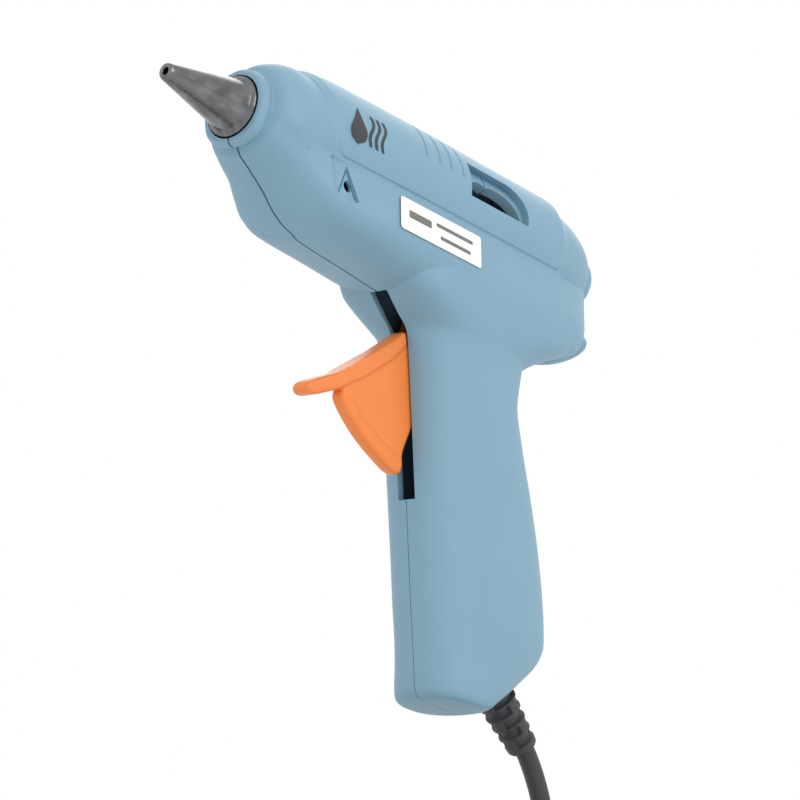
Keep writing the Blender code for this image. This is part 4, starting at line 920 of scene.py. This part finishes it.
halves = {}
for side, name, node in ((1, "left_half_casing", "left_shell"), (-1, "right_half_casing", "right_shell")):
    half = casing.copy()
    half.data = casing.data.copy()
    half.name = name
    bpy.context.scene.collection.objects.link(half)
    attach(half, "casing")
    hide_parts(node)
    bm = bmesh.new()
    add_block(bm, (-90, min(side * SEAM, -side * 40), -150), (100, max(side * SEAM, -side * 40), 40))
    carve(half, bm, BARREL)
    bm = bmesh.new()
    add_block(bm, (14.0, min(side * KEEL_SEAM, -side * 1), -35), (90, max(side * KEEL_SEAM, -side * 1), -5))
    carve(half, bm, BARREL)
    bm = bmesh.new()
    lathe(bm, round_corners([(13, 0.01), (13, 1.6), (24, 1.6), (24, 0.01)], 0.2, 2, closed=False),
          (47.6, 0, -13.8), (0, side, 0), 32, bored=False)
    if side > 0:
        flat_plate(bm, window_outline(0.0), 12.0, 24.0)
    carve(half, bm, BARREL)
    bm = bmesh.new()
    sink_outline(bm, round_corners([(48.4, -7.9), (52.2, -17.4), (43.6, -17.4)], 1.3, 3), side, 0.4)
    carve(half, bm, BARREL)
    for foot in (51.2, 44.8):
        bm = bmesh.new()
        sink_outline(bm, [(48.6, -9.2), (48.0, -9.2), (foot - 0.4, -16.6), (foot + 0.4, -16.6)], side, 0.9)
        carve(half, bm, BARREL)
    bm = bmesh.new()
    for x, z, reach in SCREWS:
        if side > 0:
            lathe(bm, [(SEAM, 1.25), (SEAM, 3.0), (reach, 3.0), (reach, 0.9)], (x, 0, z), (0, 1, 0), 32)
        else:
            lathe(bm, [(SEAM, 1.55), (SEAM, 3.6), (reach, 3.6), (reach, 1.55)], (x, 0, z), (0, -1, 0), 32)
    for x in (59.7, 25.6):
        for rib in (x - 1.8, x + 1.8):
            near, far = sorted((side * 9.8, side * 14.6))
            add_block(bm, (rib - 0.6, near, -8.0), (rib + 0.6, far, 6.0))
    near, far = sorted((side * 12.2, side * 16.4))
    add_block(bm, (-24.5, near, -4.2), (1.5, far, -2.2))
    near, far = sorted((side * 1.2, side * 3.2))
    add_block(bm, (-24.5, near, 9.0), (1.5, far, 16.4))
    near, far = sorted((side * SEAM, side * 14.5))
    add_block(bm, (-33.0, near, -20.5), (-23.0, far, -18.4))
    lathe(bm, [(12.2, 1.9), (12.2, 3.6), (13.9, 3.6), (13.9, 1.9)], (PIVOT[0], 0, PIVOT[1]), (0, side, 0), 32)
    make_piece(name + "_ribs", bm, BARREL, blue_nylon, "casing", "casing_blue")
    halves[side] = half
bpy.data.objects.remove(casing, do_unlink=True)

bm = bmesh.new()
for x, z, reach in SCREWS:
    lathe(bm, [(9.3, 0.01), (9.3, 2.9), (24, 2.9), (24, 0.01)], (x, 0, z), (0, -1, 0), 40, bored=False)
carve(halves[-1], bm, BARREL)

# ---- Window liner
# A low wall moulded round the window's inner edge, one step in from the outer wall, keeps fingers
# and glue off the moving fork. It arches over the carriage and is slit once near its front.
bm = bmesh.new()
for columns, rise_over in (
        ([2.6, 1.4, 0.6, 0.2, -0.6, -1.6, -2.8, -4.2, -5.6, -6.9, -7.4],
         [0.0, 0.0, 0.6, 3.6, 5.4, 6.6, 7.4, 7.9, 8.0, 7.8, 7.0]),
        ([-7.9, -8.4, -9.8, -11.4, -13.0, -14.8, -16.6, -18.2, -19.6, -20.8, -21.6, -22.1, -22.3, -23.4,
          -24.6],
         [7.0, 7.8, 8.2, 8.4, 8.4, 8.2, 7.7, 6.9, 5.7, 4.2, 2.6, 1.2, 0.0, 0.0, 0.0])):
    rings = []
    for x, low in zip(columns, rise_over):
        ring = []
        for radius, shares in ((15.7, (0, 0.25, 0.5, 0.75, 1)), (12.9, (1, 0.75, 0.5, 0.25, 0))):
            for share in shares:
                angle = (low + (12.6 - low) * share) / 17.6
                ring.append((x, radius * cos(angle), radius * sin(angle)))
        rings.append(ring)
    skin(bm, rings)
make_piece("window_liner", bm, BARREL, blue_nylon, "casing", "casing_blue")

# ---- Housing screws
# Five self tapping pan head screws with cross recesses, zinc plated, driven from the right into
# posts on the left half. Their heads sit deep in round recesses.
for number, (x, z, reach) in enumerate(SCREWS, 1):
    bm = bmesh.new()
    profile = [(0.0, 0.01), (0.0, 1.3), (-0.4, 2.1), (-1.0, 2.45), (-1.7, 2.5), (-1.75, 1.25)]
    profile += [(-1.9 - 0.45 * k, 1.25 if k % 2 == 0 else 0.98) for k in range(32)]
    profile += [(-17.2, 0.4), (-17.3, 0.01)]
    lathe(bm, profile, (x, -11.0, z), (0, -1, 0), 32, bored=False)
    screw = make_piece("housing_screw_%d_driven" % number, bm, BARREL, bright_steel, "casing", "steel",
                       "housing_screw_%d" % number)
    for wide, tall in ((1.5, 0.32), (0.32, 1.5)):
        bm = bmesh.new()
        add_block(bm, (x - wide, -11.4, z - tall), (x + wide, -10.0, z + tall))
        carve(screw, bm, BARREL)

# ---- Rating label
# A white self adhesive polyester label on the left flank, with rounded corners. It is printed here
# with plain grey bars where a maker puts the rating.
LABEL_TILT = radians(9.8)
LABEL = BARREL @ Matrix.Translation((11.6, 17.9, -13.7)) @ Matrix.Rotation(LABEL_TILT, 4, "X")
bm = bmesh.new()
sheet = round_corners([(-16.6, -4.6), (16.6, -4.6), (16.6, 4.6), (-16.6, 4.6)], 0.9, 5)
skin(bm, [[(x * s, y, z * s) for x, z in sheet] for y, s in ((-0.12, 1.0), (0.08, 1.0), (0.12, 0.997))])
label_film = mixed_finish("label_film", paint(250, 250, 244), paint(244, 244, 238), 8.0, 0.8, 0.004, 0.32,
                          0.05)
make_piece("label_printed", bm, LABEL, label_film, "casing", "label_white", "label")
bm = bmesh.new()
bars = [(4.2, 13.4, -0.6, 1.6), (-13.0, 2.2, 0.9, 2.0), (-12.0, 0.6, -2.4, -1.3)]
for x_from, x_to, z_from, z_to in bars:
    bar = round_corners([(x_from, z_from), (x_to, z_from), (x_to, z_to), (x_from, z_to)], 0.4, 3)
    flat_plate(bm, bar, 0.11, 0.14)
print_grey = mixed_finish("print_grey", paint(120, 118, 114), paint(104, 102, 98), 1.0, 0.2, 0.002, 0.45,
                          0.05)
make_piece("label_bars", bm, LABEL, print_grey, "casing", "label_white")

# ---- Printed mark
# A plain glue drop and three wavy lines for heat, pad printed in dark grey on the raised panel.
MARK_R = 17.62 + PANEL_PROUD
INK_R = MARK_R + 0.03


def lay_print(bm, outline, middle, rows=10):
    """Lay a flat outline of (x, distance round the barrel) on the panel as thin ink."""
    loops = []
    for k in range(rows + 1):
        share = max(k / rows, 0.02)
        ring = []
        for x, s in outline:
            px, ps = middle[0] + (x - middle[0]) * share, middle[1] + (s - middle[1]) * share
            ring.append(bm.verts.new((px, INK_R * cos(ps / MARK_R), INK_R * sin(ps / MARK_R))))
        loops.append(ring)
    for near, far in zip(loops, loops[1:]):
        for i in range(len(near)):
            bm.faces.new((near[i], near[(i + 1) % len(near)], far[(i + 1) % len(near)], far[i]))
    bm.faces.new(loops[0])


DROP_X = 47.6
bm = bmesh.new()
drop = [(DROP_X, 8.6)] + [(DROP_X + 3.1 * sin(a) * min(1.0, abs(a) + 0.1), 1.2 - 3.3 * cos(a))
                          for a in [2.1 - 4.2 * i / 40 for i in range(41)]]
lay_print(bm, drop, (DROP_X, 1.6))
for middle_x in (42.6, 40.2, 37.8):
    wave = [(middle_x + 0.75 * sin(i / 20 * 2 * pi) + 0.5, -1.2 + 9.0 * i / 20) for i in range(21)]
    wave += [(x - 1.05, s) for x, s in reversed(wave)]
    for a in range(20):
        quad = [wave[a], wave[a + 1], wave[40 - a], wave[41 - a]]
        bm.faces.new([bm.verts.new((x, INK_R * cos(s / MARK_R), INK_R * sin(s / MARK_R))) for x, s in quad])
print_black = mixed_finish("print_black", paint(56, 58, 62), paint(48, 50, 54), 1.0, 0.25, 0.002, 0.5, 0.05)
make_piece("printed_drop", bm, BARREL, print_black, "casing", "casing_blue")
